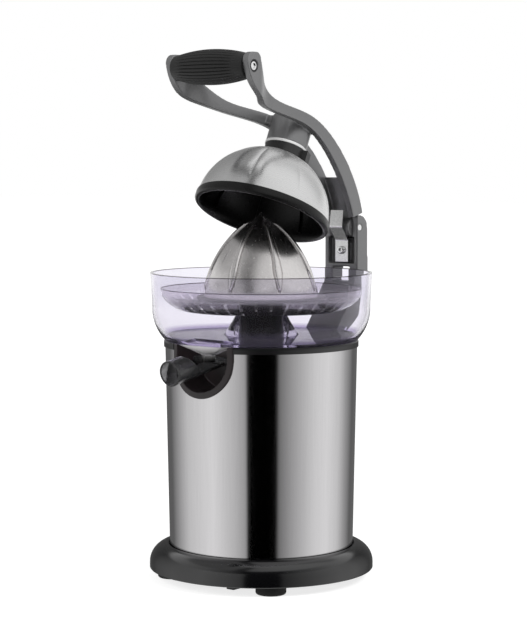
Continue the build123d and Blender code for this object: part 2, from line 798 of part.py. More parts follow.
rib_low = reamer_z + rib_foot
rib_high = reamer_z + reamer_height * rib_top_level
reamer_body = turned(reamer_profile(0.0))
rib_skin = turned(reamer_profile(-rib_height))
rib_bar = leaf_prism(rib_low, rib_high, rib_width, reamer_radius + 2 * rib_height)
reamer_cap = reamer_body
for k in range(reamer_ribs):
    turn = Rot(0, 0, rib_turn + 360.0 * k / reamer_ribs)
    reamer_cap += rib_skin & (turn * rib_bar)
reamer_cap -= turned(reamer_profile(reamer_wall))
save("reamer_cap", reamer_cap)

# Reamer core: a moulded cone with a hexagonal socket and the flange under the cap
core_body = turned(reamer_profile(reamer_wall + fit_gap))
hub_low = turret_top + press_travel + core_clearance
flange_top = reamer_z
flange_low = reamer_z - reamer_flange
core_body += ring(reamer_flange_radius, tube_outer + 2, flange_low, flange_top)
core_tube = bush_radius + core_tube_wall
room_foot = hub_low - core_tube_foot
room_radius = reamer_flange_radius * core_room_share
room_top = reamer_z + reamer_height * core_crown_level
core_room = closed(
    (bush_radius + core_tube_foot, room_foot), (room_radius, room_foot),
    (room_radius, reamer_z + core_room_rise), (bush_radius + core_crown, room_top), (core_tube, room_top))
core_body += post(core_tube, flange_low, reamer_z + core_web)
socket_top = reamer_z + shaft_depth_in_reamer
hexagon = RegularPolygon(shaft_corner, 6)
socket = Pos(0, 0, flange_low - 1) * extrude(hexagon, socket_top - flange_low + 1)
core_body -= turned(core_room)
save("reamer_core", core_body - socket)

# Drive shaft: a hexagonal bar with a collar that works the switch
shaft_low = output_z + output_width / 2 + press_travel
collar_z = bush_low - bush_clearance - shaft_collar_height
drive_shaft = Pos(0, 0, shaft_low) * extrude(hexagon, socket_top - shaft_low)
drive_shaft += post(shaft_collar_radius, collar_z, collar_z + shaft_collar_height)
save("drive_shaft", drive_shaft)

# Return spring: an open coil between the deck and the shaft's collar
spring_radius = bush_radius - spring_wire - spring_gap
spring_low = deck_top + spring_wire + spring_gap / 6
spring_high = collar_z - spring_wire - spring_gap / 2
spring_pitch = (spring_high - spring_low) / spring_turns
coil = Helix(spring_pitch, spring_high - spring_low, spring_radius)
spring_section = Plane(coil @ 0, z_dir=coil % 0) * Circle(spring_wire)
save("return_spring", Pos(0, 0, spring_low) * sweep(spring_section, coil))

# Micro switch on its shelf in the turret, with the plunger under the collar
switch_top = switch_shelf + switch_height
plunger_x = (switch_in + switch_out) / 2
micro_switch = block(switch_in, switch_out, -switch_half, switch_half, switch_shelf, switch_top)
plunger_room = plunger_half + plunger_gap
plunger_side = plunger_half_width + plunger_gap
micro_switch -= block(plunger_x - plunger_room, plunger_x + plunger_room, -plunger_side, plunger_side,
                      switch_top - press_travel - 2 * plunger_root, switch_top)
save("micro_switch", micro_switch)
switch_plunger = block(plunger_x - plunger_half, plunger_x + plunger_half,
                       -plunger_half_width, plunger_half_width,
                       switch_top - plunger_root, collar_z - plunger_lift)
save("switch_plunger", switch_plunger)


# Gears with straight flanks laid on the involute at root, pitch and tip


def involute(angle):
    """The involute function of an angle in radians."""
    return tan(angle) - angle


def gear(module, teeth, low, width, bore, phase):
    """A spur gear about Z with one tooth centred on the phase angle."""
    pitch_r = module * teeth / 2
    base_r = pitch_r * cos(radians(pressure_angle))
    root_r = pitch_r - tooth_dedendum * module
    tip_r = pitch_r + tooth_addendum * module
    half_pitch = tooth_share * pi / teeth
    flank = []
    for radius in (root_r, pitch_r, tip_r):
        slope = acos(min(1.0, base_r / radius))
        flank.append((radius, half_pitch + involute(radians(pressure_angle)) - involute(slope)))
    points = []
    for tooth in range(teeth):
        middle = radians(phase) + 2 * pi * tooth / teeth
        for radius, half in flank:
            points.append((radius * cos(middle - half), radius * sin(middle - half)))
        for radius, half in reversed(flank):
            points.append((radius * cos(middle + half), radius * sin(middle + half)))
    wheel = extrude(make_face(Polyline(*points, close=True)), width)
    return Pos(0, 0, low) * (wheel - post(bore, 0, width))


mesh_direction = 90.0
wheel_phase = mesh_direction - 180.0 + 180.0 / idler_wheel_teeth
idler_phase = mesh_direction - 180.0 + 180.0 / idler_pinion_teeth
output_top = output_z + output_width
hub_radius = bush_radius + hub_wall
idler_place = Pos(0, gear_distance, 0)

# Motor pinion, pressed on the motor shaft
motor_pinion = gear(motor_module, motor_pinion_teeth, wheel_z - gear_lip, wheel_width + 2 * gear_lip,
                    pinion_shaft_radius, mesh_direction)
save("motor_pinion", motor_pinion)

# Idler: the large wheel and the small pinion in one moulding
idler_bore = idler_axle_radius + pin_gap
idler_gear = gear(motor_module, idler_wheel_teeth, wheel_z, wheel_width, idler_bore, wheel_phase)
idler_gear += gear(output_module, idler_pinion_teeth, wheel_z + wheel_width,
                   output_z - wheel_z - wheel_width + output_width + gear_lip, idler_bore, idler_phase)
save("idler_gear", idler_place * idler_gear)

# Output gear with the hub that the drive shaft slides in
output_gear = gear(output_module, output_teeth, output_z, output_width, bush_radius, mesh_direction)
output_gear += post(hub_radius, output_z - gear_lip, case_top)
hub_socket = RegularPolygon(shaft_corner + shaft_gap, 6)
output_gear -= Pos(0, 0, output_z + hub_floor) * extrude(hub_socket, case_top - output_z)
save("output_gear", output_gear)

# Gear case: a tray with the motor's upper bearing and a cover hung from the deck
output_room = output_module * (output_teeth / 2 + tooth_addendum) + gear_room
wheel_room = motor_module * (idler_wheel_teeth / 2 + tooth_addendum) + gear_room


def case_shape(extra, low, high):
    """The outline round both gear centres, widened and extruded."""
    near = Circle(output_room + extra)
    far = Pos(0, gear_distance) * Circle(wheel_room + extra)
    return Pos(0, 0, low) * extrude(make_hull(near.edges() + far.edges()), high - low)


tray_floor = case_z + case_floor
bearing_low = case_z - bearing_height
gear_tray = case_shape(case_wall, case_z, case_cover_z) - case_shape(0, tray_floor, case_cover_z)
gear_tray += post(bearing_radius + bearing_cup_wall, bearing_low, case_z)
gear_tray -= post(bearing_radius, bearing_low, case_z)
gear_tray -= post(motor_shaft_radius + shaft_room, case_z, tray_floor)
gear_tray -= idler_place * post(idler_axle_radius, case_z, tray_floor)
side_ear = output_room + ear_radius
rear_ear = (wheel_room + ear_radius) * half_turn
case_places = [(-side_ear, 0), (side_ear, 0),
               (-rear_ear, gear_distance + rear_ear), (rear_ear, gear_distance + rear_ear)]
for x, y in case_places:
    gear_tray += post(ear_radius, case_z, case_cover_z, x, y) - case_shape(0, tray_floor, case_cover_z)
    gear_tray -= post(case_screw_radius, case_z, case_cover_z, x, y)
stator_top = case_z - motor_drop
stator_z = stator_top - stack_height
motor_screw_places = corners(2 * (motor_flat - motor_screw_inset))
for x, y in motor_screw_places:
    if y < 0:
        gear_tray += post(pillar_radius + case_wall, case_z, tray_floor, x, y)
    gear_tray += post(pillar_radius, stator_top, case_z, x, y) - post(screw_radius, stator_top, case_z, x, y)
save("gear_tray", gear_tray)

gear_cover = case_shape(case_wall, case_cover_z, case_top)
gear_cover += ring(hub_radius + cover_bush_wall, hub_radius + pin_gap,
                   output_top + cover_bush_gap, case_cover_z)
for x, y in case_places:
    gear_cover += post(ear_radius, case_cover_z, deck_z, x, y)
    gear_cover -= post(case_screw_radius, case_cover_z, deck_z, x, y)
gear_cover -= post(hub_radius + pin_gap, case_cover_z, case_top)
gear_cover -= idler_place * post(idler_axle_radius, case_cover_z, case_top)
save("gear_cover", gear_cover)

case_screw = post(case_screw_radius, case_z, deck_z)
case_screw += post(case_screw_radius * case_head_share, case_z - case_head_height, case_z)
save("gear_case_screws", together(Pos(x, y, 0) * case_screw for x, y in case_places))
save("idler_axle", idler_place * post(idler_axle_radius, case_z, case_top))

# Motor: laminated stator, field coils, armature, fan, bearings and lower bracket
stator_bore = rotor_radius + air_gap
stack_shape = Circle(motor_radius) & Rectangle(2 * motor_flat, 2 * motor_radius)
motor_stator = Pos(0, 0, stator_z) * extrude(stack_shape, stack_height)
motor_stator -= post(stator_bore, stator_z, stator_top)
coil_room_half = rotor_radius * coil_share
coil_back = motor_radius - coil_yoke
coil_slot = block(-coil_room_half, coil_room_half, stator_bore - 2, coil_back, stator_z, stator_top)
motor_stator -= coil_slot + Rot(0, 0, 180) * coil_slot
for x, y in motor_screw_places:
    motor_stator -= post(screw_radius, stator_z, stator_top, x, y)
save("motor_stator", motor_stator)

coil_half = coil_room_half - coil_gap
winding = block(-coil_half, coil_half, stator_bore + coil_clearance, coil_back - coil_gap,
                stator_z - coil_lift, stator_top + coil_lift)
winding = fillet(winding.edges().filter_by(Axis.X), coil_round)
save("field_coils", together([winding, Rot(0, 0, 180) * winding]))

armature_core = post(rotor_radius, stator_z, stator_top)
slot_root = rotor_radius * slot_root_share
slot_cut = block(slot_root, rotor_radius + air_gap, -slot_half, slot_half, stator_z, stator_top)
for k in range(armature_slots):
    armature_core -= Rot(0, 0, 360.0 * k / armature_slots) * slot_cut
wound_radius = rotor_radius * wound_share
armature_core += post(wound_radius, stator_z - coil_lift, stator_z)
armature_core += post(wound_radius, stator_top, stator_top + coil_lift)
armature_core -= post(motor_shaft_radius, stator_z - coil_lift, stator_top + coil_lift)
save("armature", armature_core)

commutator_top = stator_z - coil_lift - commutator_gap
commutator_low = commutator_top - commutator_length
commutator_radius = rotor_radius / 2
save("commutator", ring(commutator_radius, motor_shaft_radius, commutator_low, commutator_top))

lower_bearing_top = commutator_low - bearing_gap
lower_bearing_z = lower_bearing_top - bearing_height
motor_shaft = post(motor_shaft_radius, lower_bearing_z - shaft_end, tray_floor)
motor_shaft += post(pinion_shaft_radius, tray_floor, wheel_z + wheel_width + gear_lip)
save("motor_shaft", motor_shaft)

upper_bearing = ring(bearing_radius, motor_shaft_radius + pin_gap, bearing_low, case_z)
lower_bearing = ring(bearing_radius, motor_shaft_radius + pin_gap, lower_bearing_z, lower_bearing_top)
save("motor_bearings", together([upper_bearing, lower_bearing]))

fan_low = stator_top + coil_lift + fan_gap
fan_high = bearing_low - fan_top_gap
cooling_fan = ring(fan_hub_radius, motor_shaft_radius, fan_low, fan_high)
fan_reach = min(fan_radius, hypot(*motor_screw_places[0]) - pillar_radius - gear_room)
cooling_fan += ring(fan_reach, motor_shaft_radius, fan_low, fan_low + fan_disc)
blade = block(fan_hub_radius + blade_half, fan_reach - blade_tip_gap, -blade_half, blade_half,
              fan_low, fan_high)
blade = Rot(0, 0, blade_turn) * blade
for k in range(fan_blades):
    cooling_fan += Rot(0, 0, 360.0 * k / fan_blades) * blade
save("cooling_fan", cooling_fan)

bracket_z = lower_bearing_z - bracket_drop
bracket_top = bracket_z + bracket_thickness
bracket_screw_x = motor_screw_places[-1][0]
bracket_half = bracket_screw_x + bracket_margin
lower_bracket = block(-bracket_half, bracket_half, -bracket_half, bracket_half, bracket_z, bracket_top)
cup_radius = bearing_radius + bearing_cup_wall
window = block(-bracket_screw_x + pillar_radius, bracket_screw_x - pillar_radius, cup_radius,
               bracket_screw_x - bracket_rail, bracket_z, bracket_top)
lower_bracket -= window
lower_bracket -= Rot(0, 0, 180) * window
lower_bracket += post(bearing_radius + bracket_cup_wall, bracket_z, lower_bearing_top)
lower_bracket -= post(bearing_radius, lower_bearing_z, lower_bearing_top)
lower_bracket -= post(motor_shaft_radius + shaft_room, bracket_z, lower_bearing_z)
for x, y in motor_screw_places:
    lower_bracket += post(pillar_radius, bracket_z, stator_z, x, y)
    lower_bracket -= post(screw_radius, bracket_z, stator_z, x, y)
brush_low = commutator_low + brush_inset
brush_high = commutator_top - brush_inset
holder_out = bracket_screw_x + holder_reach
holder_in = commutator_radius + holder_wall
holder_half = brush_half + holder_wall
for side in (0, 180):
    turn = Rot(0, 0, side)
    holder = block(holder_in + brush_gap, holder_out, -holder_half, holder_half,
                   bracket_z, brush_high + holder_wall)
    holder -= block(holder_in, holder_out - holder_wall, -brush_half, brush_half, brush_low, brush_high)
    lower_bracket += turn * (holder - post(bearing_radius + holder_wall, lower_bearing_z, lower_bearing_top))
save("motor_lower_bracket", lower_bracket)

brush = block(commutator_radius + brush_gap, holder_out - holder_wall, -brush_half, brush_half,
              brush_low, brush_high)
save("carbon_brushes", together([brush, Rot(0, 0, 180) * brush]))

motor_screw = post(screw_radius, bracket_z, case_z)
motor_screw += post(screw_head_radius, bracket_z - screw_head_height, bracket_z)
save("motor_screws", together(Pos(x, y, 0) * motor_screw for x, y in motor_screw_places))

# Rear post: a casting with a foot on the deck, a window and two cheeks at the hinge
foot_inner = bowl_foot_radius - post_foot_reach + cover_gap
post_foot_top = bowl_z - post_foot_gap
neck_top = bowl_top - window_height
recess_low = bowl_top + recess_sill
recess_top = hinge_height - knuckle_radius
neck_front = (bowl_bend_radius + post_bowl_gap, bowl_z + bowl_bend_height * post_neck_share)
neck_rear = (post_rear - post_heel_inset, bowl_z + post_heel_rise)
cheek_rear = hinge_y + cheek_radius
cheek_front_z = hinge_height + sqrt(cheek_radius ** 2 - hinge_inset ** 2)
cheek_mid = (hinge_y + cheek_radius * half_turn, hinge_height + cheek_radius * half_turn)
post_outline = Curve() + [
    Line((foot_inner, deck_top), (bowl_foot_radius + 5, deck_top)),
    ThreePointArc((bowl_foot_radius + 5, deck_top), neck_rear, (post_rear, neck_top)),
    Line((post_rear, neck_top), (cheek_rear, hinge_height)),
    ThreePointArc((cheek_rear, hinge_height), cheek_mid, (hinge_y, hinge_height + cheek_radius)),
    ThreePointArc((hinge_y, hinge_height + cheek_radius),
                  (hinge_y - hinge_inset / 2, hinge_height + sqrt(cheek_radius ** 2 - hinge_inset ** 2 / 4)),
                  (post_front, cheek_front_z)),
    Line((post_front, cheek_front_z), (post_front, neck_top)),
    ThreePointArc((post_front, neck_top), neck_front, (bowl_foot_radius + post_bowl_gap, post_foot_top)),
    Line((bowl_foot_radius + post_bowl_gap, post_foot_top), (foot_inner, post_foot_top)),
    Line((foot_inner, post_foot_top), (foot_inner, deck_top)),
]
rear_post = side_slab(make_face(post_outline), -post_half_width, post_half_width)
cheek_inner = post_half_width - post_cheek
channel_low = hinge_height - knuckle_radius - bar_gap
channel_back = hinge_y + knuckle_radius + bar_gap
rear_post -= block(-cheek_inner, cheek_inner, post_front - 1, channel_back, channel_low, hinge_height + 20)
recess_half = post_half_width - recess_side
rear_post -= block(-recess_half, recess_half, post_front - 1, post_front + recess_depth,
                   recess_low, recess_top)
pad_front = post_front + leaf_thickness + leaf_sink
pad_half = leaf_width / 2 - leaf_thickness
rear_post += block(-pad_half, pad_half, pad_front, post_front + recess_depth + fit_gap,
                   recess_low + 2 * leaf_edge, recess_top - 2 * leaf_bend_drop)
rear_post -= block(-window_half_width, window_half_width, post_front - 20, post_rear + 20, neck_top, bowl_top)
pin_half_length = post_half_width - side_gap
rear_post -= crossbar(hinge_pin_radius, post_half_width, hinge_y, hinge_height)
leaf_screw_z = (recess_low + recess_top) / 2
leaf_screw_bar = Pos(0, pad_front, leaf_screw_z) * Rot(90, 0, 0) * Cylinder(screw_radius, leaf_screw_length)
rear_post -= leaf_screw_bar
post_screw_depth = (post_foot_top - deck_top) * post_screw_share
for x, y in post_screw_places:
    rear_post -= post(screw_radius, deck_top, deck_top + post_screw_depth, x, y)
save("rear_post", rear_post)

post_screw = post(screw_radius, deck_z, deck_top + post_screw_depth)
post_screw += post(screw_head_radius, deck_z - screw_head_height, deck_z)
save("post_screws", together(Pos(x, y, 0) * post_screw for x, y in post_screw_places))

# Hinge pin through both cheeks and the arm's knuckle
save("hinge_pin", crossbar(hinge_pin_radius, pin_half_length, hinge_y, hinge_height))

# Leaf spring: a bent steel strip screwed to the post, its crest towards the arm
leaf_y = pad_front - leaf_thickness / 2
leaf_low = recess_low + leaf_edge
leaf_bend = recess_top - leaf_bend_drop
crest_z = hinge_height + leaf_crest_rise
leaf_end_z = hinge_height + leaf_rise
leaf_path = FilletPolyline(
    (leaf_y, leaf_low), (leaf_y, leaf_bend), (leaf_y - leaf_crest, crest_z),
    (leaf_y - leaf_crest + leaf_return, leaf_end_z), radius=leaf_bend_radius)
leaf_face = offset(leaf_path, leaf_thickness / 2, side=Side.BOTH, kind=Kind.INTERSECTION)
leaf_spring = side_slab(make_face(leaf_face.edges()), -leaf_width / 2, leaf_width / 2)
save("leaf_spring", leaf_spring - leaf_screw_bar)
leaf_head_y = leaf_y - leaf_thickness / 2
leaf_screw = leaf_screw_bar & block(-leaf_width, leaf_width, leaf_head_y, pad_front + leaf_screw_length,
                                    leaf_screw_z - leaf_width, leaf_screw_z + leaf_width)
leaf_head = Pos(0, leaf_head_y - screw_head_height / 2, leaf_screw_z) * Rot(90, 0, 0)
leaf_screw += leaf_head * Cylinder(screw_head_radius, screw_head_height)
save("leaf_spring_screw", leaf_screw)

# Where the arm stands: every press piece is drawn closed, then swung up about the hinge
raise_arm = Pos(0, hinge_y, hinge_height) * Rot(-press_angle, 0, 0) * Pos(0, -hinge_y, -hinge_height)


def raised(y, z):
    """A point of the closed press, swung up with the arm."""
    swing = radians(press_angle)
    across = y - hinge_y
    above = z - hinge_height
    return (hinge_y + across * cos(swing) + above * sin(swing),
            hinge_height - across * sin(swing) + above * cos(swing))


press_axis = raise_arm * Pos(0, press_setback, rim_z)
neck_axis = press_axis * Pos(0, neck_setback, 0)
ring_z = dome_height + neck_length
boss_z = ring_z + ring_height
boss_top = boss_z + boss_length
bolt_top = boss_z + dome_bolt_depth


def dome_profile(radius, height):
    """Half outline of a ball cap of a given rim radius and height."""
    centre = (height ** 2 - radius ** 2) / (2 * height)
    ball = height - centre
    middle = (ball * half_turn, centre + ball * half_turn)
    return Curve() + [
        Line((0, 0), (radius, 0)),
        ThreePointArc((radius, 0), middle, (0, height)),
        Line((0, height), (0, 0)),
    ]


# Dome shell: a drawn steel cup with soft creases, bored for the bolt
dome_outer = turned(dome_profile(dome_radius, dome_height))
dome_shell = dome_outer - turned(dome_profile(dome_radius - dome_wall, dome_height - dome_wall))
crease_skin = dome_outer - turned(dome_profile(dome_radius - crease_depth, dome_height - crease_depth))
crease_bar = leaf_prism(dome_height * crease_low, dome_height * crease_high, crease_width,
                        dome_radius + dome_wall)
for k in range(dome_creases):
    turn = Rot(0, 0, 360.0 * (k + 0.5) / dome_creases)
    dome_shell -= crease_skin & (turn * crease_bar)
bolt_bore = Pos(0, neck_setback, 0) * post(dome_bolt_radius + fit_gap, 0, ring_z)
dome_shell -= bolt_bore
save("dome_shell", press_axis * dome_shell)

# Dome liner: a black moulding with a rim bead and radial fins
liner_radius = dome_radius - dome_wall - fit_gap
liner_height = dome_height - dome_wall - fit_gap
room_radius = liner_radius - liner_wall
room_height = liner_height - liner_wall
liner_room = turned(dome_profile(room_radius, room_height))
dome_liner = turned(dome_profile(liner_radius, liner_height)) - liner_room
liner_rim = ring(dome_radius + liner_rim_width, room_radius, -liner_rim_height, 0)
dome_liner += fillet(liner_rim.edges().group_by(Axis.Z)[0], liner_rim_round)
fin_space = liner_room - turned(dome_profile(room_radius - fin_height, room_height - fin_height))
fin_plate = block(fin_start, liner_radius, -fin_thickness / 2, fin_thickness / 2, 0, liner_height)
for k in range(fin_count):
    dome_liner += fin_space & (Rot(0, 0, 360.0 * k / fin_count) * fin_plate)
bolt_seat = room_height - bolt_head_height / 2
bolt_room = post(bolt_head_radius + fit_gap, bolt_seat - bolt_head_height, bolt_seat)
dome_liner -= Pos(0, neck_setback, 0) * bolt_room
dome_liner -= bolt_bore
save("dome_liner", press_axis * dome_liner)

# Dome neck with its key block, and the silver ring under the boss
neck_foot = dome_height - dome_radius / 4
dome_neck = post(neck_radius, neck_foot, ring_z)
key_block = block(0, neck_radius + key_reach, -key_width / 2, key_width / 2,
                  neck_foot, ring_z - ring_overhang)
dome_neck += Rot(0, 0, key_turn) * key_block
dome_neck = Pos(0, neck_setback, 0) * dome_neck - dome_outer - bolt_bore
save("dome_neck", press_axis * dome_neck)
neck_ring = ring(neck_radius + ring_overhang, dome_bolt_radius + fit_gap, ring_z, boss_z)
save("neck_ring", neck_axis * neck_ring)

# Dome bolt: holds liner, shell, neck and ring on the boss
dome_bolt = post(dome_bolt_radius, bolt_seat, bolt_top)
dome_bolt += post(bolt_head_radius, bolt_seat - bolt_head_height, bolt_seat)
save("dome_bolt", neck_axis * dome_bolt)

# Press arm: two bars, back plate, knuckle and boss in one casting
boss_y, boss_level = raised(press_setback + neck_setback, rim_z + boss_top - boss_overlap)
grip_y = -grip_ahead
root_y = hinge_y - bar_root_setback
root_z = hinge_height + cheek_radius
chord = hypot(boss_y - root_y, boss_level - root_z)
bow_y = (boss_level - root_z) / chord
bow_z = -(boss_y - root_y) / chord
bow_point = ((root_y + boss_y) / 2 + bar_bow * bow_y, (root_z + boss_level) / 2 + bar_bow * bow_z)
end_y = grip_y + bar_end_shift
tip_y = end_y - bar_end_reach * sin(radians(bar_end_lean))
tip_z = grip_level + bar_end_reach * cos(radians(bar_end_lean))


def on_way(shares):
    """A point between the boss and the grip, by its shares of the way in Y and Z."""
    return (boss_y + (grip_y - boss_y) * shares[0], boss_level + (grip_level - boss_level) * shares[1])


centre_line = Spline((root_y, root_z), bow_point, (boss_y, boss_level), on_way(waist_share),
                     on_way(sole_share), on_way(heel_share), (end_y, grip_level), (tip_y, tip_z))
boss_depth = bar_waist + (bar_depth - bar_waist) / 3
sole_depth = bar_waist + (bar_heel - bar_waist) / 6
bar_stations = [(0.0, bar_depth), (0.25, bar_depth), (0.46, boss_depth), (0.63, bar_waist),
                (0.74, sole_depth), (0.88, bar_heel), (1.0, bar_eye)]


def beside(curve, share, reach):
    """The point at a distance to the left of a curve, at a share of its length."""
    spot = curve @ share
    along = curve % share
    return (spot.X - along.Y * reach, spot.Y + along.X * reach)


front_edge = [beside(centre_line, share, depth / 2) for share, depth in bar_stations]
rear_edge = [beside(centre_line, share, -depth / 2) for share, depth in bar_stations]
bar_face = make_face(Curve() + [
    Spline(*front_edge), Line(front_edge[-1], rear_edge[-1]),
    Spline(*rear_edge), Line(rear_edge[0], front_edge[0])])
bar_face = fillet(bar_face.vertices().sort_by_distance((tip_y, tip_z))[:2], bar_end_round)
bar_side = side_slab(bar_face, 0, bar_grip_half_width)

# The bars leave the hinge side by side and spread to either end of the grip
spread_end = grip_y + bar_flare_lead
bar_front = tip_y - bar_depth
outer_spread = Spline((bar_root_half_width, hinge_y), (bar_boss_half_width, boss_y),
                      (bar_middle_half_width, (boss_y + spread_end) / 2),
                      (bar_heel_half_width, spread_end + bar_flare_length), (bar_grip_half_width, spread_end),
                      tangents=[(0, -1), (0, -1)])
inner_points = [beside(outer_spread, step / 8, -bar_thickness) for step in range(9)]
bar_root_inner = bar_root_half_width - bar_thickness
grip_half = bar_grip_half_width - bar_thickness
bar_plan = make_face(Curve() + [
    Line((bar_root_half_width, post_rear), (bar_root_half_width, hinge_y)),
    outer_spread,
    Line((bar_grip_half_width, spread_end), (bar_grip_half_width, bar_front)),
    Line((bar_grip_half_width, bar_front), (grip_half, bar_front)),
    Line((grip_half, bar_front), (grip_half, spread_end)),
    Spline(*inner_points, tangents=[(0, -1), (0, -1)]),
    Line((bar_root_inner, hinge_y), (bar_root_inner, post_rear)),
    Line((bar_root_inner, post_rear), (bar_root_half_width, post_rear))])
near_bar = bar_side & (Pos(0, 0, hinge_height) * extrude(bar_plan, tip_z + bar_depth - hinge_height))
press_arm = near_bar + mirror(near_bar, Plane.YZ)
press_arm += neck_axis * post(boss_radius, boss_z, boss_top)
saddle_half = bar_boss_half_width - bar_thickness / 2
saddle_reach = boss_radius * half_turn
press_arm += neck_axis * block(-saddle_half, saddle_half, -saddle_reach, saddle_reach,
                               boss_top - saddle_depth, boss_top)
plate_top = root_z + (boss_level - root_z) * plate_share
plate_half = bar_root_half_width - bar_thickness / 2
back_plate = side_slab(bar_face - Pos(-plate_thickness, 0) * bar_face, -plate_half, plate_half)
stem_top = root_z + bar_depth / 3
back_plate &= block(-plate_half, plate_half, 0, post_rear, stem_top - fit_gap, plate_top)
press_arm += back_plate
press_arm -= crossbar(cheek_radius + bar_gap, bar_grip_half_width, hinge_y, hinge_height)
plate_foot = rear_edge[0][0]
stem_face = closed(
    (hinge_y - knuckle_radius * stem_share, hinge_height), (hinge_y + knuckle_radius, hinge_height),
    (plate_foot - fit_gap, stem_top), (plate_foot - plate_thickness, stem_top))
knuckle_half = cheek_inner - bar_gap
press_arm += side_slab(make_face(stem_face), -knuckle_half, knuckle_half)
press_arm += crossbar(knuckle_radius, knuckle_half, hinge_y, hinge_height)
press_arm -= crossbar(hinge_pin_radius + pin_gap, knuckle_half, hinge_y, hinge_height)
press_arm -= neck_axis * post(dome_bolt_radius, boss_z, bolt_top)
sink_half = bar_grip_half_width - grip_sink
press_arm -= crossbar(grip_end_radius + grip_seat_gap, grip_half, grip_y, grip_level)
press_arm -= crossbar(grip_screw_radius + fit_gap, bar_grip_half_width, grip_y, grip_level)
grip_sinks = crossbar(grip_head_radius + fit_gap, bar_grip_half_width, grip_y, grip_level)
press_arm -= grip_sinks - crossbar(grip_head_radius + 2 * fit_gap, sink_half, grip_y, grip_level)
save("press_arm", press_arm)

# Grip: a barrel of ribbed rubber on a steel rod between the bars
grip_outline = Curve() + [
    Line((0, -grip_half), (grip_end_radius, -grip_half)),
    ThreePointArc((grip_end_radius, -grip_half), (grip_radius, 0), (grip_end_radius, grip_half)),
    Line((grip_end_radius, grip_half), (0, grip_half)),
    Line((0, grip_half), (0, -grip_half)),
]
grip = turned(grip_outline)
flute_half = grip_half * grip_flute_share
flute_foot = grip_end_radius + grip_flute_depth
flute_outline = Curve() + [
    ThreePointArc((flute_foot, -flute_half), (grip_radius - grip_flute_depth, 0), (flute_foot, flute_half)),
    Line((flute_foot, flute_half), (grip_radius + grip_flute_depth, flute_half)),
    Line((grip_radius + grip_flute_depth, flute_half), (grip_radius + grip_flute_depth, -flute_half)),
    Line((grip_radius + grip_flute_depth, -flute_half), (flute_foot, -flute_half)),
]
flute = extrude(Plane.XZ * make_face(flute_outline), grip_flute_width / 2, both=True)
grip -= [Rot(0, 0, 360.0 * k / grip_flutes) * flute for k in range(grip_flutes)]
grip -= Cylinder(grip_rod_radius, 2 * grip_half)
grip_place = Pos(0, grip_y, grip_level) * Rot(0, 90, 0)
save("grip", grip_place * grip)

grip_rod = Cylinder(grip_rod_radius, 2 * grip_half) - Cylinder(grip_screw_radius, 2 * grip_half)
grip_core_half = grip_half - grip_screw_depth
grip_rod += Cylinder(grip_screw_radius, 2 * grip_core_half)
save("grip_rod", grip_place * grip_rod)

grip_screw = post(grip_screw_radius, grip_core_half, sink_half)
grip_screw += post(grip_head_radius, sink_half, sink_half + grip_head_height)
save("grip_screws", together([grip_place * grip_screw, grip_place * Rot(180, 0, 0) * grip_screw]))
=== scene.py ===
import json
import math

import bpy
from mathutils import Matrix, Vector


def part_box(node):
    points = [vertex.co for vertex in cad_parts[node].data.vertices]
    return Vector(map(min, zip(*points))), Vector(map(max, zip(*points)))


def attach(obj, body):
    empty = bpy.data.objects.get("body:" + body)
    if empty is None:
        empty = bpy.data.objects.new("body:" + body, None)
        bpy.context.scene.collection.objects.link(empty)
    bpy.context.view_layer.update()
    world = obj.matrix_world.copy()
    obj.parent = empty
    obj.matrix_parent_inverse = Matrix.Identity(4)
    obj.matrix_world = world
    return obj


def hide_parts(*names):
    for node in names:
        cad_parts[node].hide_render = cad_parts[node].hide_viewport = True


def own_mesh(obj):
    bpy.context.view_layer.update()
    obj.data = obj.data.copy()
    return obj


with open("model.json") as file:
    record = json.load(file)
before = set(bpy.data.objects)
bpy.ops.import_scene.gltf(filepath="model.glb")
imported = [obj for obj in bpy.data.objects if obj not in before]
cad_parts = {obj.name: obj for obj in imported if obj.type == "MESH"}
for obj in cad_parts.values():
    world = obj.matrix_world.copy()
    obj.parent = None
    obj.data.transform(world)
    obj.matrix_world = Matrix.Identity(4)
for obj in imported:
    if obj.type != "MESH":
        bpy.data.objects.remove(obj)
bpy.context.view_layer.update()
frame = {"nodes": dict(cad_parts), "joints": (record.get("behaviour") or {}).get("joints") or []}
scene = bpy.context.scene

# Rubber feet: four turned pads of matt black rubber, each with a stud
# pressed into the bottom cover. They keep the juicer from walking. The cord
# inlet is the same rubber.


def ranged(tree, value, low, high, to_low=0.0, to_high=1.0):
    """A value carried from one range to another, held at the ends."""
    step = tree.nodes.new("ShaderNodeMapRange")
    step.inputs["From Min"].default_value = low
    step.inputs["From Max"].default_value = high
    step.inputs["To Min"].default_value = to_low
    step.inputs["To Max"].default_value = to_high
    tree.links.new(value, step.inputs["Value"])
    return step.outputs["Result"]


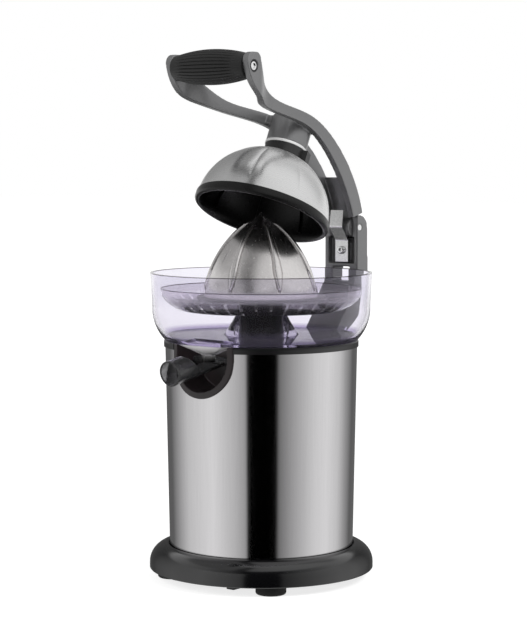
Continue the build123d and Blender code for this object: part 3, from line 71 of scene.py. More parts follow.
def finish(name, colour, roughness, metallic=0.0, grain=700.0, stretch=(1, 1, 1), vary=0.12,
           gloss_vary=0.05, relief=0.15, depth=0.00005):
    """A material whose colour, gloss and relief carry a fine grain."""
    grain_detail, pit, peak = 5.0, 0.3, 0.7
    material = bpy.data.materials.new(name)
    material.use_nodes = True
    tree = material.node_tree
    shader = tree.nodes["Principled BSDF"]
    shader.inputs["Metallic"].default_value = metallic
    place = tree.nodes.new("ShaderNodeTexCoord")
    turn = tree.nodes.new("ShaderNodeMapping")
    turn.inputs["Scale"].default_value = stretch
    tree.links.new(place.outputs["Object"], turn.inputs["Vector"])
    speck = tree.nodes.new("ShaderNodeTexNoise")
    speck.inputs["Scale"].default_value = grain
    speck.inputs["Detail"].default_value = grain_detail
    tree.links.new(turn.outputs["Vector"], speck.inputs["Vector"])
    tint = tree.nodes.new("ShaderNodeValToRGB")
    for stop, level, change in zip(tint.color_ramp.elements, (pit, peak), (1 - vary, 1 + vary)):
        stop.position = level
        stop.color = [c * change for c in colour] + [1]
    tree.links.new(speck.outputs["Fac"], tint.inputs["Fac"])
    tree.links.new(tint.outputs["Color"], shader.inputs["Base Color"])
    gloss = ranged(tree, speck.outputs["Fac"], pit, peak, roughness - gloss_vary, roughness + gloss_vary)
    tree.links.new(gloss, shader.inputs["Roughness"])
    bump = tree.nodes.new("ShaderNodeBump")
    bump.inputs["Strength"].default_value = relief
    bump.inputs["Distance"].default_value = depth
    tree.links.new(speck.outputs["Fac"], bump.inputs["Height"])
    tree.links.new(bump.outputs["Normal"], shader.inputs["Normal"])
    return material


def paint(surface, *nodes):
    """Gives CAD nodes that keep their shape a finish."""
    for node in nodes:
        solid = frame["nodes"][node]
        if not solid.material_slots:
            solid.data.materials.append(surface)
        for slot in solid.material_slots:
            slot.link = "OBJECT"
            slot.material = surface


foot_rubber = finish("foot_rubber", (0.012, 0.012, 0.012), 0.75, grain=1400, relief=0.4, depth=0.0001)
paint(foot_rubber, "rubber_feet", "cord_inlet")

# Base ring: a glossy black moulding, a skirt with a quarter-round shoulder.
# A groove in its top takes the foot of the steel drum.
on_axis = 1e-6
ease_steps = 4


def turned(outline, steps=160):
    """A closed outline of (radius, height) in millimetres, turned about Z."""
    points, rows = [], []
    for radius, height in outline:
        count = steps if radius > on_axis else 1
        rows.append(range(len(points), len(points) + count))
        for k in range(count):
            angle = 2 * math.pi * k / steps
            x, y = radius * math.cos(angle), radius * math.sin(angle)
            points.append((x / 1000, y / 1000, height / 1000))
    faces = []
    for low, high in zip(rows, rows[1:] + rows[:1]):
        if len(low) == 1 and len(high) == 1:
            continue
        for k in range(steps):
            low_pair = [low[k % len(low)], low[(k + 1) % len(low)]]
            high_pair = [high[(k + 1) % len(high)], high[k % len(high)]]
            faces.append(list(dict.fromkeys(low_pair + high_pair)))
    mesh = bpy.data.meshes.new("turned")
    mesh.from_pydata(points, [], faces)
    return mesh


def eased(outline, radius):
    """A closed outline with each sharp corner rounded off."""
    slight_bend, most_of_side = 0.3, 0.45
    rounded = []
    count = len(outline)
    for k in range(count):
        before, here, after = (Vector(outline[(k + d) % count]) for d in (-1, 0, 1))
        to_before, to_after = before - here, after - here
        bend = math.pi - to_before.angle(to_after, math.pi)
        if bend < slight_bend or here.x < on_axis:
            rounded.append(tuple(here))
            continue
        shorter_side = min(to_before.length, to_after.length)
        reach = min(radius * math.tan(bend / 2), most_of_side * shorter_side)
        start = here + to_before.normalized() * reach
        end = here + to_after.normalized() * reach
        for step in range(ease_steps + 1):
            share = step / ease_steps
            left = 1 - share
            rounded.append(tuple(start * left ** 2 + here * 2 * share * left + end * share ** 2))
    return rounded


def arc(centre, radius, first, last, steps):
    """Points on an arc about a centre, between two angles in degrees."""
    angles = [math.radians(first + (last - first) * k / steps) for k in range(steps + 1)]
    return [(centre[0] + radius * math.cos(a), centre[1] + radius * math.sin(a)) for a in angles]


def dressed(name, mesh, surface, body, node, place=None, crease=35.0):
    """Puts a finished piece on its body, in place of its CAD node."""
    mesh.name = name
    mesh.materials.append(surface)
    mesh.polygons.foreach_set("use_smooth", [True] * len(mesh.polygons))
    mesh.set_sharp_from_angle(angle=math.radians(crease))
    piece = bpy.data.objects.new(name, mesh)
    scene.collection.objects.link(piece)
    if place is not None:
        piece.matrix_world = place
    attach(piece, body)
    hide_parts(node)
    return piece


def shader_of(material):
    """The surface shader of a finish."""
    return material.node_tree.nodes["Principled BSDF"]


bowl_low, bowl_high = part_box("juice_bowl")
reamer_axis = Matrix.Translation((0, (bowl_low.y + bowl_high.y) / 2, 0))
base_black = finish("base_black", (0.003, 0.003, 0.0035), 0.15, grain=900, gloss_vary=0.03, relief=0.04)
shader_of(base_black).inputs["Specular IOR Level"].default_value = 0.8
skirt_bore, skirt_top, skirt_ceiling, skirt_foot = 64.0, 31.0, 25.0, 9.0
shoulder_centre, shoulder_radius, shoulder_inside, inside_end = (84.3, 14.0), 17.0, 14.4, 49.8
lip_inside, lip_outside = shoulder_centre[0] + shoulder_inside, shoulder_centre[0] + shoulder_radius
lip_slope, lip_width, lip_height = 0.2, 0.5, 0.6
groove_outer, groove_inner, groove_floor, groove_mouth, groove_ease = 83.8, 81.8, 28.0, 0.1, 0.3
skirt = [(skirt_bore, skirt_ceiling)] + arc(shoulder_centre, shoulder_inside, inside_end, 0, 8)
skirt += [(lip_inside, skirt_foot + lip_slope), (lip_outside - lip_width, skirt_foot)]
skirt += [(lip_outside, skirt_foot + lip_height)] + arc(shoulder_centre, shoulder_radius, 0, 90, 24)
# The first and last of these corners only guide the rounding of the others.
groove_corners = [(groove_outer + groove_mouth, skirt_top - groove_mouth), (groove_outer, groove_floor),
                  (groove_inner, groove_floor), (groove_inner, skirt_top), (skirt_bore, skirt_top)]
groove = eased(groove_corners, groove_ease)
corner_points = ease_steps + 1
skirt += groove[corner_points:-corner_points] + [(skirt_bore, skirt_top)]
dressed("base_skirt", turned(skirt), base_black, "housing", "base_ring", reamer_axis)

# Bottom cover: a black vented plate with two cord cleats, held by four
# plated screws that also close the base.
cover_black = finish("cover_black", (0.014, 0.014, 0.015), 0.5, grain=1800, relief=0.35)
plated = finish("plated", (0.55, 0.55, 0.56), 0.3, 1.0, grain=2500, relief=0.1)
paint(cover_black, "bottom_cover")
paint(plated, "bottom_cover_screws")

# Motor: a universal motor of stacked laminations, enamelled windings and a
# turned commutator with carbon brushes. Its fan and its lower bracket are
# glass-filled mouldings, and plated screws hold it.
lamination = finish("lamination", (0.22, 0.22, 0.23), 0.4, 0.9, grain=300, stretch=(0.2, 0.2, 14), vary=0.4)
winding = finish("winding", (0.42, 0.13, 0.04), 0.3, 0.7, grain=400, stretch=(1, 1, 6), vary=0.35,
                 relief=0.5)
segment = finish("segment", (0.6, 0.28, 0.13), 0.3, 1.0, grain=200, stretch=(8, 8, 0.3), vary=0.3)
carbon = finish("carbon", (0.02, 0.02, 0.02), 0.6, grain=2000, relief=0.3)
ground_steel = finish("ground_steel", (0.6, 0.6, 0.61), 0.22, 1.0, grain=500, stretch=(1, 1, 12))
filled_grey = finish("filled_grey", (0.05, 0.05, 0.052), 0.55, grain=1500, vary=0.3, relief=0.4)
paint(lamination, "motor_stator", "armature")
paint(winding, "field_coils")
paint(segment, "commutator")
paint(carbon, "carbon_brushes")
paint(ground_steel, "motor_shaft", "motor_bearings")
paint(filled_grey, "motor_lower_bracket", "cooling_fan")
paint(plated, "motor_screws")

# Gear case: two glass-filled trays, screwed together over a two-stage train
# of acetal wheels on ground steel shafts. A micro switch and the bronze bush
# of the drive shaft sit in it.
acetal = finish("acetal", (0.75, 0.73, 0.66), 0.4, grain=800, vary=0.04)
bronze = finish("bronze", (0.55, 0.34, 0.13), 0.4, 1.0, grain=1800, vary=0.25)
switch_red = finish("switch_red", (0.35, 0.03, 0.02), 0.4, grain=1200)
paint(filled_grey, "gear_tray", "gear_cover", "micro_switch")
paint(acetal, "idler_gear", "output_gear")
paint(ground_steel, "motor_pinion", "idler_axle", "drive_shaft")
paint(bronze, "shaft_bush")
paint(switch_red, "switch_plunger")
paint(plated, "gear_case_screws")

# Steel drum: thin stainless sheet rolled to a slightly tapered tube, with a
# U cut out at the front for the spout. Tie rods clamp it between the base
# and the collar.
drum_steel = finish("drum_steel", (0.67, 0.66, 0.67), 0.11, 1.0, grain=260, stretch=(3, 3, 0.06), vary=0.02,
                    gloss_vary=0.02, relief=0.02, depth=0.00002)
drum_low, drum_top, drum_wall = 28.0, 210.0, 0.8
drum_foot_radius, drum_flare = 83.0, 3.6
cut_half, cut_bend = 34.3, 203.6
side_rows, upper_rows, cut_columns, columns = 26, 2, 40, 192
drum_rows = side_rows + upper_rows + 1


def drum_radius(height):
    """Outer radius of the drum at a height."""
    return drum_foot_radius + drum_flare * (height - drum_low) / (drum_top - drum_low)


def trimmed(mesh):
    """A mesh without its loose points."""
    used = sorted({v for face in mesh.polygons for v in face.vertices})
    number = {old: new for new, old in enumerate(used)}
    faces = [[number[v] for v in face.vertices] for face in mesh.polygons]
    clean = bpy.data.meshes.new(mesh.name)
    clean.from_pydata([mesh.vertices[v].co for v in used], [], faces)
    return clean


def thickened(mesh, wall):
    """A sheet given its wall, inward from its outer face."""
    carrier = bpy.data.objects.new("carrier", mesh)
    scene.collection.objects.link(carrier)
    wall_maker = carrier.modifiers.new("wall", "SOLIDIFY")
    wall_maker.thickness = wall / 1000
    wall_maker.offset = -1
    wall_maker.use_even_offset = True
    solid = bpy.data.meshes.new_from_object(carrier.evaluated_get(bpy.context.evaluated_depsgraph_get()))
    bpy.data.objects.remove(carrier)
    return solid


cut_angle = math.asin(cut_half / drum_radius(cut_bend))
angles = [-cut_angle + 2 * cut_angle * k / cut_columns for k in range(cut_columns)]
angles += [cut_angle + (2 * math.pi - 2 * cut_angle) * k / columns for k in range(columns)]
drum_points, drum_faces = [], []
for column, angle in enumerate(angles):
    across = math.sin(angle) * drum_radius(cut_bend)
    dip = math.sqrt(max(cut_half ** 2 - across ** 2, 0.0)) if column < cut_columns else 0.0
    for row in range(drum_rows):
        if row <= side_rows:
            height = drum_low + (cut_bend - dip - drum_low) * row / side_rows
        else:
            height = cut_bend + (drum_top - cut_bend) * (row - side_rows) / upper_rows
        x, y = drum_radius(height) * math.sin(angle), -drum_radius(height) * math.cos(angle)
        drum_points.append((x / 1000, y / 1000, height / 1000))
for column in range(len(angles)):
    for row in range(drum_rows - 1):
        if row >= side_rows and column < cut_columns:
            continue
        here = column * drum_rows + row
        beside = (column + 1) % len(angles) * drum_rows + row
        drum_faces.append((here, beside, beside + 1, here + 1))
drum_mesh = bpy.data.meshes.new("drum")
drum_mesh.from_pydata(drum_points, [], drum_faces)
dressed("drum", thickened(trimmed(drum_mesh), drum_wall), drum_steel, "housing", "steel_shell", reamer_axis)
paint(plated, "tie_rods")

# Top collar: a black moulding that closes the drum, glossy at its rim and
# dull on the turret, which the drive shaft comes up through. A rubber seal
# sits in the turret's top.
collar_black = finish("collar_black", (0.004, 0.004, 0.0045), 0.34, grain=1200, relief=0.15)
rim_end, turret_start, rim_gloss, turret_gloss = 0.213, 0.217, 0.7, 0.05


def height_in(tree):
    """The height of a surface point in metres, in a finish's nodes."""
    split = tree.nodes.new("ShaderNodeSeparateXYZ")
    tree.links.new(tree.nodes["Texture Coordinate"].outputs["Object"], split.inputs["Vector"])
    return split.outputs["Z"]


tree = collar_black.node_tree
collar_gloss = ranged(tree, height_in(tree), rim_end, turret_start, rim_gloss, turret_gloss)
tree.links.new(collar_gloss, shader_of(collar_black).inputs["Specular IOR Level"])
seal_rubber = finish("seal_rubber", (0.015, 0.015, 0.015), 0.6, grain=1600, relief=0.3)
paint(collar_black, "top_collar")
paint(seal_rubber, "turret_seal")

# Spout: a smoky translucent tray that opens into a round mouth. It tips up
# on a pin in the brown-black U-shaped frame to stop the last drops.
frame_brown = finish("frame_brown", (0.016, 0.012, 0.013), 0.38, grain=1300, relief=0.15)
spout_smoke = finish("spout_smoke", (0.19, 0.19, 0.195), 0.06, grain=240, vary=0.3, gloss_vary=0.04,
                     relief=0.1)
shader_of(spout_smoke).inputs["Transmission Weight"].default_value = 0.9
shader_of(spout_smoke).inputs["IOR"].default_value = 1.4


def softened(node, grain_size, passes):
    """A copy of a CAD node with its edges rounded as in a mould."""
    carrier = bpy.data.objects.new("carrier", frame["nodes"][node].data.copy())
    carrier.data.materials.clear()
    scene.collection.objects.link(carrier)
    skin = carrier.modifiers.new("skin", "REMESH")
    skin.mode = "VOXEL"
    skin.voxel_size = grain_size / 1000
    rub = carrier.modifiers.new("rub", "SMOOTH")
    rub.factor = 0.5
    rub.iterations = passes
    mesh = bpy.data.meshes.new_from_object(carrier.evaluated_get(bpy.context.evaluated_depsgraph_get()))
    bpy.data.objects.remove(carrier)
    return mesh


bezel_mesh = softened("spout_frame", grain_size=0.6, passes=3)
spout_mesh = softened("spout", grain_size=0.4, passes=2)
dressed("spout_bezel", bezel_mesh, frame_brown, "housing", "spout_frame", crease=180)
dressed("flip_spout", spout_mesh, spout_smoke, "spout", "spout", crease=180)
paint(plated, "spout_pin")

# Rear post: a grey painted casting, screwed on behind the bowl, with two
# cheeks for the hinge pin. A bright leaf spring is screwed to its front.
arm_grey = finish("arm_grey", (0.2, 0.2, 0.203), 0.34, 0.6, grain=1500, vary=0.08, relief=0.12)
bright_strip = finish("bright_strip", (0.7, 0.7, 0.7), 0.22, 1.0, grain=500, stretch=(1, 6, 0.3), vary=0.06)
bright_steel = finish("bright_steel", (0.8, 0.8, 0.8), 0.14, 1.0, grain=2000, relief=0.05)
post_mesh = softened("rear_post", grain_size=0.8, passes=4)
dressed("hinge_post", post_mesh, arm_grey, "housing", "rear_post", crease=180)
paint(bright_strip, "leaf_spring")
paint(plated, "post_screws")


def ring_stack(rings):
    """A closed skin over rings of equal point counts, in millimetres, with flat ends."""
    count = len(rings[0])
    points = [tuple(c / 1000 for c in point) for ring in rings for point in ring]
    faces = []
    for row in range(len(rings) - 1):
        for k in range(count):
            here, beside = row * count + k, row * count + (k + 1) % count
            faces.append((here, beside, beside + count, here + count))
    faces.append(tuple(reversed(range(count))))
    faces.append(tuple(range(len(points) - count, len(points))))
    mesh = bpy.data.meshes.new("stack")
    mesh.from_pydata(points, [], faces)
    return mesh


def socket_screw(head_radius, head_height, shank_radius, shank_length, socket):
    """A pan head screw along Z with a hexagonal socket, its shank below z = 0."""
    steps, ease, socket_ease, socket_floor = 48, head_height * 0.35, 0.25, head_height * 0.3
    bow = ease * 0.3
    turns = [2 * math.pi * k / steps for k in range(steps)]

    def circle(radius, height):
        return [(radius * math.cos(a), radius * math.sin(a), height) for a in turns]

    def hexagon(radius, height):
        reaches = [radius / math.cos((a + math.pi / 6) % (math.pi / 3) - math.pi / 6) for a in turns]
        return [(reach * math.cos(a), reach * math.sin(a), height) for a, reach in zip(turns, reaches)]

    return ring_stack([
        circle(shank_radius, -shank_length), circle(shank_radius, 0), circle(head_radius, 0),
        circle(head_radius, head_height - ease), circle(head_radius - bow, head_height - bow),
        circle(head_radius - ease, head_height), hexagon(socket + socket_ease, head_height),
        hexagon(socket, head_height - socket_ease), hexagon(socket, socket_floor)])


strip_head = 2.6
screw_low, screw_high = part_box("leaf_spring_screw")
screw_seat = Vector((0, screw_low.y + strip_head / 1000, (screw_low.z + screw_high.z) / 2))
screw_place = Matrix.Translation(screw_seat) @ Matrix.Rotation(math.radians(90), 4, "X")
screw_mesh = socket_screw(head_radius=3.8, head_height=strip_head, shank_radius=2.0, shank_length=6.5,
                          socket=1.6)
dressed("strip_screw", screw_mesh, bright_steel, "housing", "leaf_spring_screw", screw_place)
pin_radius, pin_ease = 3.2, 0.7
pin_low, pin_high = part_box("hinge_pin")
pin_half = (pin_high.x - pin_low.x) / 2 * 1000
pin_corners = [(0, -pin_half), (pin_radius, -pin_half), (pin_radius, pin_half), (0, pin_half)]
pin_mesh = turned(eased(pin_corners, pin_ease), 48)
pin_place = Matrix.Translation((pin_low + pin_high) / 2) @ Matrix.Rotation(math.radians(90), 4, "Y")
dressed("hinge_rod", pin_mesh, bright_steel, "housing", "hinge_pin", pin_place)

# Juice bowl: one clear moulding with a faint violet tint. Its middle tube
# slips over the turret and its funnel drips into the spout. Light passes it,
# so it casts no shadow.


def banded(tree, value, stops):
    """A ramp along a value, with its stops given as positions and colours."""
    ramp = tree.nodes.new("ShaderNodeValToRGB")
    ramp.color_ramp.elements.remove(ramp.color_ramp.elements[1])
    for position, colour in stops:
        stop = ramp.color_ramp.elements.new(position)
        stop.color = colour
    tree.links.new(value, ramp.inputs["Fac"])
    return ramp


def clear_moulding(name, node, roughness, tints):
    """Clear plastic with faint flow marks, its colour and clearness given at heights in millimetres."""
    material = finish(name, tints[0][1][:3], roughness, grain=60, gloss_vary=0.015, relief=0.02)
    tree, shader = material.node_tree, shader_of(material)
    shader.inputs["IOR"].default_value = 1.2
    low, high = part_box(node)
    stops = [((height / 1000 - low.z) / (high.z - low.z), tint) for height, tint in tints]
    shades = banded(tree, ranged(tree, height_in(tree), low.z, high.z), stops)
    tree.links.new(shades.outputs["Color"], shader.inputs["Base Color"])
    tree.links.new(shades.outputs["Alpha"], shader.inputs["Transmission Weight"])
    return material


funnel_tint, floor_tint = (0.92, 0.91, 0.92, 0.45), (0.43, 0.38, 0.55, 0.97)
low_tint, wall_tint, rim_tint = (0.85, 0.835, 0.885, 1.0), (0.79, 0.775, 0.84, 1.0), (0.2, 0.18, 0.21, 1.0)
bowl_tints = [(215, funnel_tint), (216, floor_tint), (219, floor_tint), (223, low_tint), (246, low_tint),
              (258, wall_tint), (275.6, wall_tint), (275.9, rim_tint)]
paint(clear_moulding("bowl_clear", "juice_bowl", 0.02, bowl_tints), "juice_bowl")
frame["nodes"]["juice_bowl"].visible_shadow = False

# Strainer: a shallow clear dish that keeps back pulp and pips. It rests on
# the bowl's tube under the reamer. Pale lines along its radial slots are
# painted highlights, standing in for light caught on the slot edges.


def feed(tree, value, socket):
    """Gives a node's input a plain value or another node's output."""
    if isinstance(value, bpy.types.NodeSocket):
        tree.links.new(value, socket)
    else:
        socket.default_value = value


def worked(tree, operation, first, second):
    """What a Math node makes of two values."""
    step = tree.nodes.new("ShaderNodeMath")
    step.operation = operation
    feed(tree, first, step.inputs[0])
    feed(tree, second, step.inputs[1])
    return step.outputs["Value"]


def mixed(tree, share, first, second):
    """A colour that goes from the first to the second as a share rises."""
    mix = tree.nodes.new("ShaderNodeMix")
    mix.data_type = "RGBA"
    tree.links.new(share, mix.inputs["Factor"])
    first_colour, second_colour, mixed_colour = mix.inputs[6], mix.inputs[7], mix.outputs[2]
    feed(tree, first, first_colour)
    feed(tree, second, second_colour)
    return mixed_colour


belly_tint, band_tint = (0.66, 0.63, 0.69, 0.96), (0.86, 0.83, 0.88, 0.9)
edge_tint = (0.25, 0.23, 0.26, 0.9)
strainer_tints = [(252.5, belly_tint), (253.5, band_tint), (261.6, band_tint), (261.9, edge_tint)]
strainer_clear = clear_moulding("strainer_clear", "strainer", 0.06, strainer_tints)
# The slot lines are a painted highlight: a pale colour mixed in along each slot's edge.
slot_count, slot_line, slot_top, slot_highlight_tint = 40, 0.1, 0.255, (0.95, 0.94, 0.96, 1)
tree, shader = strainer_clear.node_tree, shader_of(strainer_clear)
centred = tree.nodes.new("ShaderNodeVectorMath")
centred.operation = "SUBTRACT"
centred.inputs[1].default_value = reamer_axis.translation
tree.links.new(tree.nodes["Texture Coordinate"].outputs["Object"], centred.inputs[0])
parts = tree.nodes.new("ShaderNodeSeparateXYZ")
tree.links.new(centred.outputs["Vector"], parts.inputs["Vector"])
bearing = worked(tree, "ARCTAN2", parts.outputs["Y"], parts.outputs["X"])
pitches = worked(tree, "MULTIPLY", bearing, slot_count / (2 * math.pi))
from_slot = worked(tree, "PINGPONG", pitches, 0.5)
on_line = worked(tree, "LESS_THAN", from_slot, slot_line)
on_belly = worked(tree, "LESS_THAN", parts.outputs["Z"], slot_top)
on_slot_highlight = worked(tree, "MULTIPLY", on_line, on_belly)
dish_colour = shader.inputs["Base Color"].links[0].from_socket
tree.links.new(mixed(tree, on_slot_highlight, dish_colour, slot_highlight_tint), shader.inputs["Base Color"])
paint(strainer_clear, "strainer")
frame["nodes"]["strainer"].visible_shadow = False

# Return spring: a steel coil round the drive shaft, inside the turret. A
# pressed fruit pushes the shaft down against it on to the switch.
spring_mesh = frame["nodes"]["return_spring"].data.copy()
spring_mesh.materials.clear()
coil_spring = dressed("coil_spring", spring_mesh, ground_steel, "housing", "return_spring")
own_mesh(coil_spring)

# Reamer: a polished steel cap pressed with leaf-shaped ribs, slightly hollow
# between them, over a grey moulded core that slips on the hexagonal drive
# shaft.
reamer_steel = finish("reamer_steel", (0.68, 0.66, 0.655), 0.26, 1.0, grain=300, vary=0.04,
                      gloss_vary=0.015, relief=0.03)
core_grey = finish("core_grey", (0.09, 0.088, 0.092), 0.45, grain=1500, relief=0.2)
paint(core_grey, "reamer_core")
cap_low, cap_radius = 255.0, 51.5
cap_waist, cap_shoulder, cap_steps = (cap_radius * 0.695, 296.04), (8.0, 323.4), 84
cap_tip = [(6.4, 324.6), (4.2, 326.0), (2.6, 327.2), (1.6, 328.6), (0.7, 330.4)]
rib_count, rib_turn, rib_foot, rib_end = 7, -83.5, 260.0, 322.0
rib_half, rib_top_half, rib_least_half, rib_widest = 3.4, 1.2, 0.3, rib_foot + (rib_end - rib_foot) * 0.3
rib_rise, rib_roundness, rib_foot_run, rib_end_run = 2.2, 0.4, 3.0, 4.0
groove_depth, groove_middle, groove_width = 0.8, 1.12, 0.18
panel_steps, panel_hollow, panel_foot_run, panel_end_run = 12, 1.2, 12.0, 25.0
outward, upward = 0.8, 0.6


def circle_through(first, middle, last, steps):
    """Points on the arc through three points."""
    (ax, ay), (bx, by), (cx, cy) = first, middle, last
    d = 2 * (ax * (by - cy) + bx * (cy - ay) + cx * (ay - by))
    sa, sb, sc = ax * ax + ay * ay, bx * bx + by * by, cx * cx + cy * cy
    ux = (sa * (by - cy) + sb * (cy - ay) + sc * (ay - by)) / d
    uy = (sa * (cx - bx) + sb * (ax - cx) + sc * (bx - ax)) / d
    radius = math.hypot(ax - ux, ay - uy)
    start = math.degrees(math.atan2(ay - uy, ax - ux))
    end = math.degrees(math.atan2(cy - uy, cx - ux))
    return arc((ux, uy), radius, start, end, steps)


def eased_step(value):
    """A smooth step from 0 to 1."""
    value = min(max(value, 0.0), 1.0)
    return value * value * (3 - 2 * value)


def leaf_half(height, radius):
    """Half the width of a rib: pointed at its foot, widest a third of the way up, narrow at the top."""
    if height < rib_widest:
        half = rib_half * math.sqrt(max((height - rib_foot) / (rib_widest - rib_foot), 0.0))
    else:
        half = rib_half + (rib_top_half - rib_half) * (height - rib_widest) / (rib_end - rib_widest)
    return min(max(half, rib_least_half), radius / 4)


def leaf_rise(height, share):
    """How far the skin stands out at a share of the rib's half width: a crown between two grooves."""
    ends = eased_step((height - rib_foot) / rib_foot_run) * eased_step((rib_end - height) / rib_end_run)
    crown = rib_rise * max(1 - share * share, 0.0) ** rib_roundness
    groove = groove_depth * math.exp(-((share - groove_middle) / groove_width) ** 2)
    return (crown - groove) * ends


def panel_dip(height):
    """How deep the skin is hollowed halfway between two ribs."""
    foot_share, end_share = (height - rib_foot) / panel_foot_run, (rib_end - height) / panel_end_run
    return panel_hollow * eased_step(foot_share) * eased_step(end_share)


cap_line = circle_through((cap_radius, cap_low), cap_waist, cap_shoulder, cap_steps) + cap_tip
rib_shares = [0, 0.25, 0.5, 0.7, 0.83, 0.92, 0.98, 1.03, 1.08, 1.13, 1.2, 1.3, 1.45]
sector = 2 * math.pi / rib_count
cap_rings = []
for radius, height in [(cap_radius - 1, cap_low)] + cap_line:
    half = leaf_half(height, radius)
    side = [(share * half / radius, leaf_rise(height, share)) for share in rib_shares]
    rib_edge = side[-1][0]
    for k in range(1, panel_steps + 1):
        share = k / panel_steps
        side.append((rib_edge + (sector / 2 - rib_edge) * share, -panel_dip(height) * share * (2 - share)))
    other_side = [(-turn, rise) for turn, rise in reversed(side[1:-1])]
    ring = []
    for rib in range(rib_count):
        middle = math.radians(rib_turn) + rib * sector
        for turn, rise in other_side + side:
            reach, angle = radius + outward * rise, middle + turn
            ring.append((reach * math.cos(angle), reach * math.sin(angle), height + upward * rise))
    cap_rings.append(ring)
dressed("reamer_shell", ring_stack(cap_rings), reamer_steel, "reamer", "reamer_cap", reamer_axis, crease=50)

# Press arm: one grey painted casting that swings on the hinge pin, two bars
# from the hinge to the ends of the grip with a round boss over the dome.
press_raised, closed_behind, hinge_behind = -24.5, 5.1, 124.0
closed_rim, hinge_height, neck_behind = 281.65, 313.5, 0.007
hinge = Vector(next(j["pos_m"] for j in frame["joints"] if j["name"] == "press_arm_hinge"))
press_tilt = Matrix.Rotation(math.radians(press_raised), 4, "X")
rim_spot = Vector((0, (closed_behind - hinge_behind) / 1000, (closed_rim - hinge_height) / 1000))
press_axis = Matrix.Translation(hinge) @ press_tilt @ Matrix.Translation(rim_spot)
neck_axis = press_axis @ Matrix.Translation((0, neck_behind, 0))
arm_mesh = softened("press_arm", grain_size=0.65, passes=3)
dressed("lever_arm", arm_mesh, arm_grey, "arm", "press_arm", crease=180)

# Grip: a barrel of fluted black rubber over a steel rod, held by a socket
# screw with a black washer in each bar.


def moved(mesh, place):
    """A mesh with its points carried to a place."""
    mesh.transform(place)
    return mesh


def joined(*meshes):
    """Several closed skins kept as one mesh."""
    points, faces = [], []
    for mesh in meshes:
        first = len(points)
        points += [v.co.copy() for v in mesh.vertices]
        faces += [[first + v for v in face.vertices] for face in mesh.polygons]
    whole = bpy.data.meshes.new("joined")
    whole.from_pydata(points, [], faces)
    return whole


grip_rubber = finish("grip_rubber", (0.008, 0.008, 0.008), 0.5, grain=1400, relief=0.35, depth=0.0001)
grip_half, grip_fat, grip_thin, grip_end_ease, grip_steps = 40.4, 15.6, 10.7, 1.2, 72
flutes, flute_points, flute_depth, flute_end, flute_fade = 30, 10, 0.9, grip_half * 0.92, 14
grip_low, grip_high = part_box("grip")
grip_place = Matrix.Translation((grip_low + grip_high) / 2) @ Matrix.Rotation(math.radians(90), 4, "Y")
belly = circle_through((grip_thin, -grip_half), (grip_fat, 0), (grip_thin, grip_half), grip_steps)
grip_end = grip_thin - grip_end_ease
grip_rings = []
for radius, height in [(grip_end, -grip_half)] + belly + [(grip_end, grip_half)]:
    depth = flute_depth * eased_step((flute_end - abs(height)) / flute_fade)
    ring = []
    for k in range(flutes * flute_points):
        turn = 2 * math.pi * k / (flutes * flute_points)
        reach = radius - depth * max(0.0, math.cos(turn * flutes)) ** 2
        ring.append((reach * math.cos(turn), reach * math.sin(turn), height))
    grip_rings.append(ring)
dressed("grip_barrel", ring_stack(grip_rings), grip_rubber, "arm", "grip", grip_place, crease=60)
paint(plated, "grip_rod")
bolt_low, bolt_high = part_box("grip_screws")
bolt_middle = (bolt_low + bolt_high) / 2
bolt_head, bolt_rise, washer_radius, washer_rise = 3.8, 1.6, 5.2, 0.7
washer_outline = [(bolt_head, 0), (washer_radius, 0), (washer_radius, washer_rise),
                  (bolt_head, washer_rise)]
bolts, washer_rings = [], []
for side in (-1, 1):
    seat = Vector((bolt_high.x - bolt_rise / 1000, 0, 0)) * side
    bolt_place = Matrix.Translation(bolt_middle + seat) @ Matrix.Rotation(math.radians(90 * side), 4, "Y")
    bolt = socket_screw(bolt_head, bolt_rise, shank_radius=3.0, shank_length=14.0, socket=2.0)
    bolts.append(moved(bolt, bolt_place))
    washer_rings.append(moved(turned(washer_outline, 48), bolt_place))
dressed("grip_bolts", joined(*bolts), bright_steel, "arm", "grip_screws")
washer_mesh = joined(*washer_rings)
washer_mesh.materials.append(grip_rubber)
washers = bpy.data.objects.new("bolt_washers", washer_mesh)
scene.collection.objects.link(washers)
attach(washers, "arm")

# Press dome: a spun steel cup with soft creases, brushed round so that light
# streaks from its neck to its rim. A plated bolt holds it to the boss.
dome_steel = finish("dome_steel", (0.68, 0.68, 0.68), 0.28, 1.0, grain=300, stretch=(0.3, 0.3, 4),
                    vary=0.02, gloss_vary=0.015, relief=0.01, depth=0.00002)
brush = dome_steel.node_tree.nodes.new("ShaderNodeTangent")
brush.axis = "Z"
dome_steel.node_tree.links.new(brush.outputs["Tangent"], shader_of(dome_steel).inputs["Tangent"])
shader_of(dome_steel).inputs["Anisotropic"].default_value = 0.75
shader_of(dome_steel).inputs["Anisotropic Rotation"].default_value = 0.25
dome_ball, dome_centre, dome_rim, dome_crown, dome_wall, dome_rows = 60.98, -5.885, 84.46, 0.6, 1.2, 72
creases, crease_depth, crease_width, crease_low, crease_high, crease_run = 8, 0.75, 2.4, 5, 50, 9
crease_fan = [math.radians(a) for a in (0, 0.5, 1.0, 1.6, 2.3, 3.2, 4.4, 6, 8, 10.5, 13.5, 17, 20)]
wedge = 2 * math.pi / creases
from_crease = [-a for a in reversed(crease_fan[1:])] + crease_fan + [wedge / 2]
dome_turns = [((k + 0.5) * wedge + a, abs(a)) for k in range(creases) for a in from_crease]
across = len(dome_turns)
dome_points, dome_faces = [], []
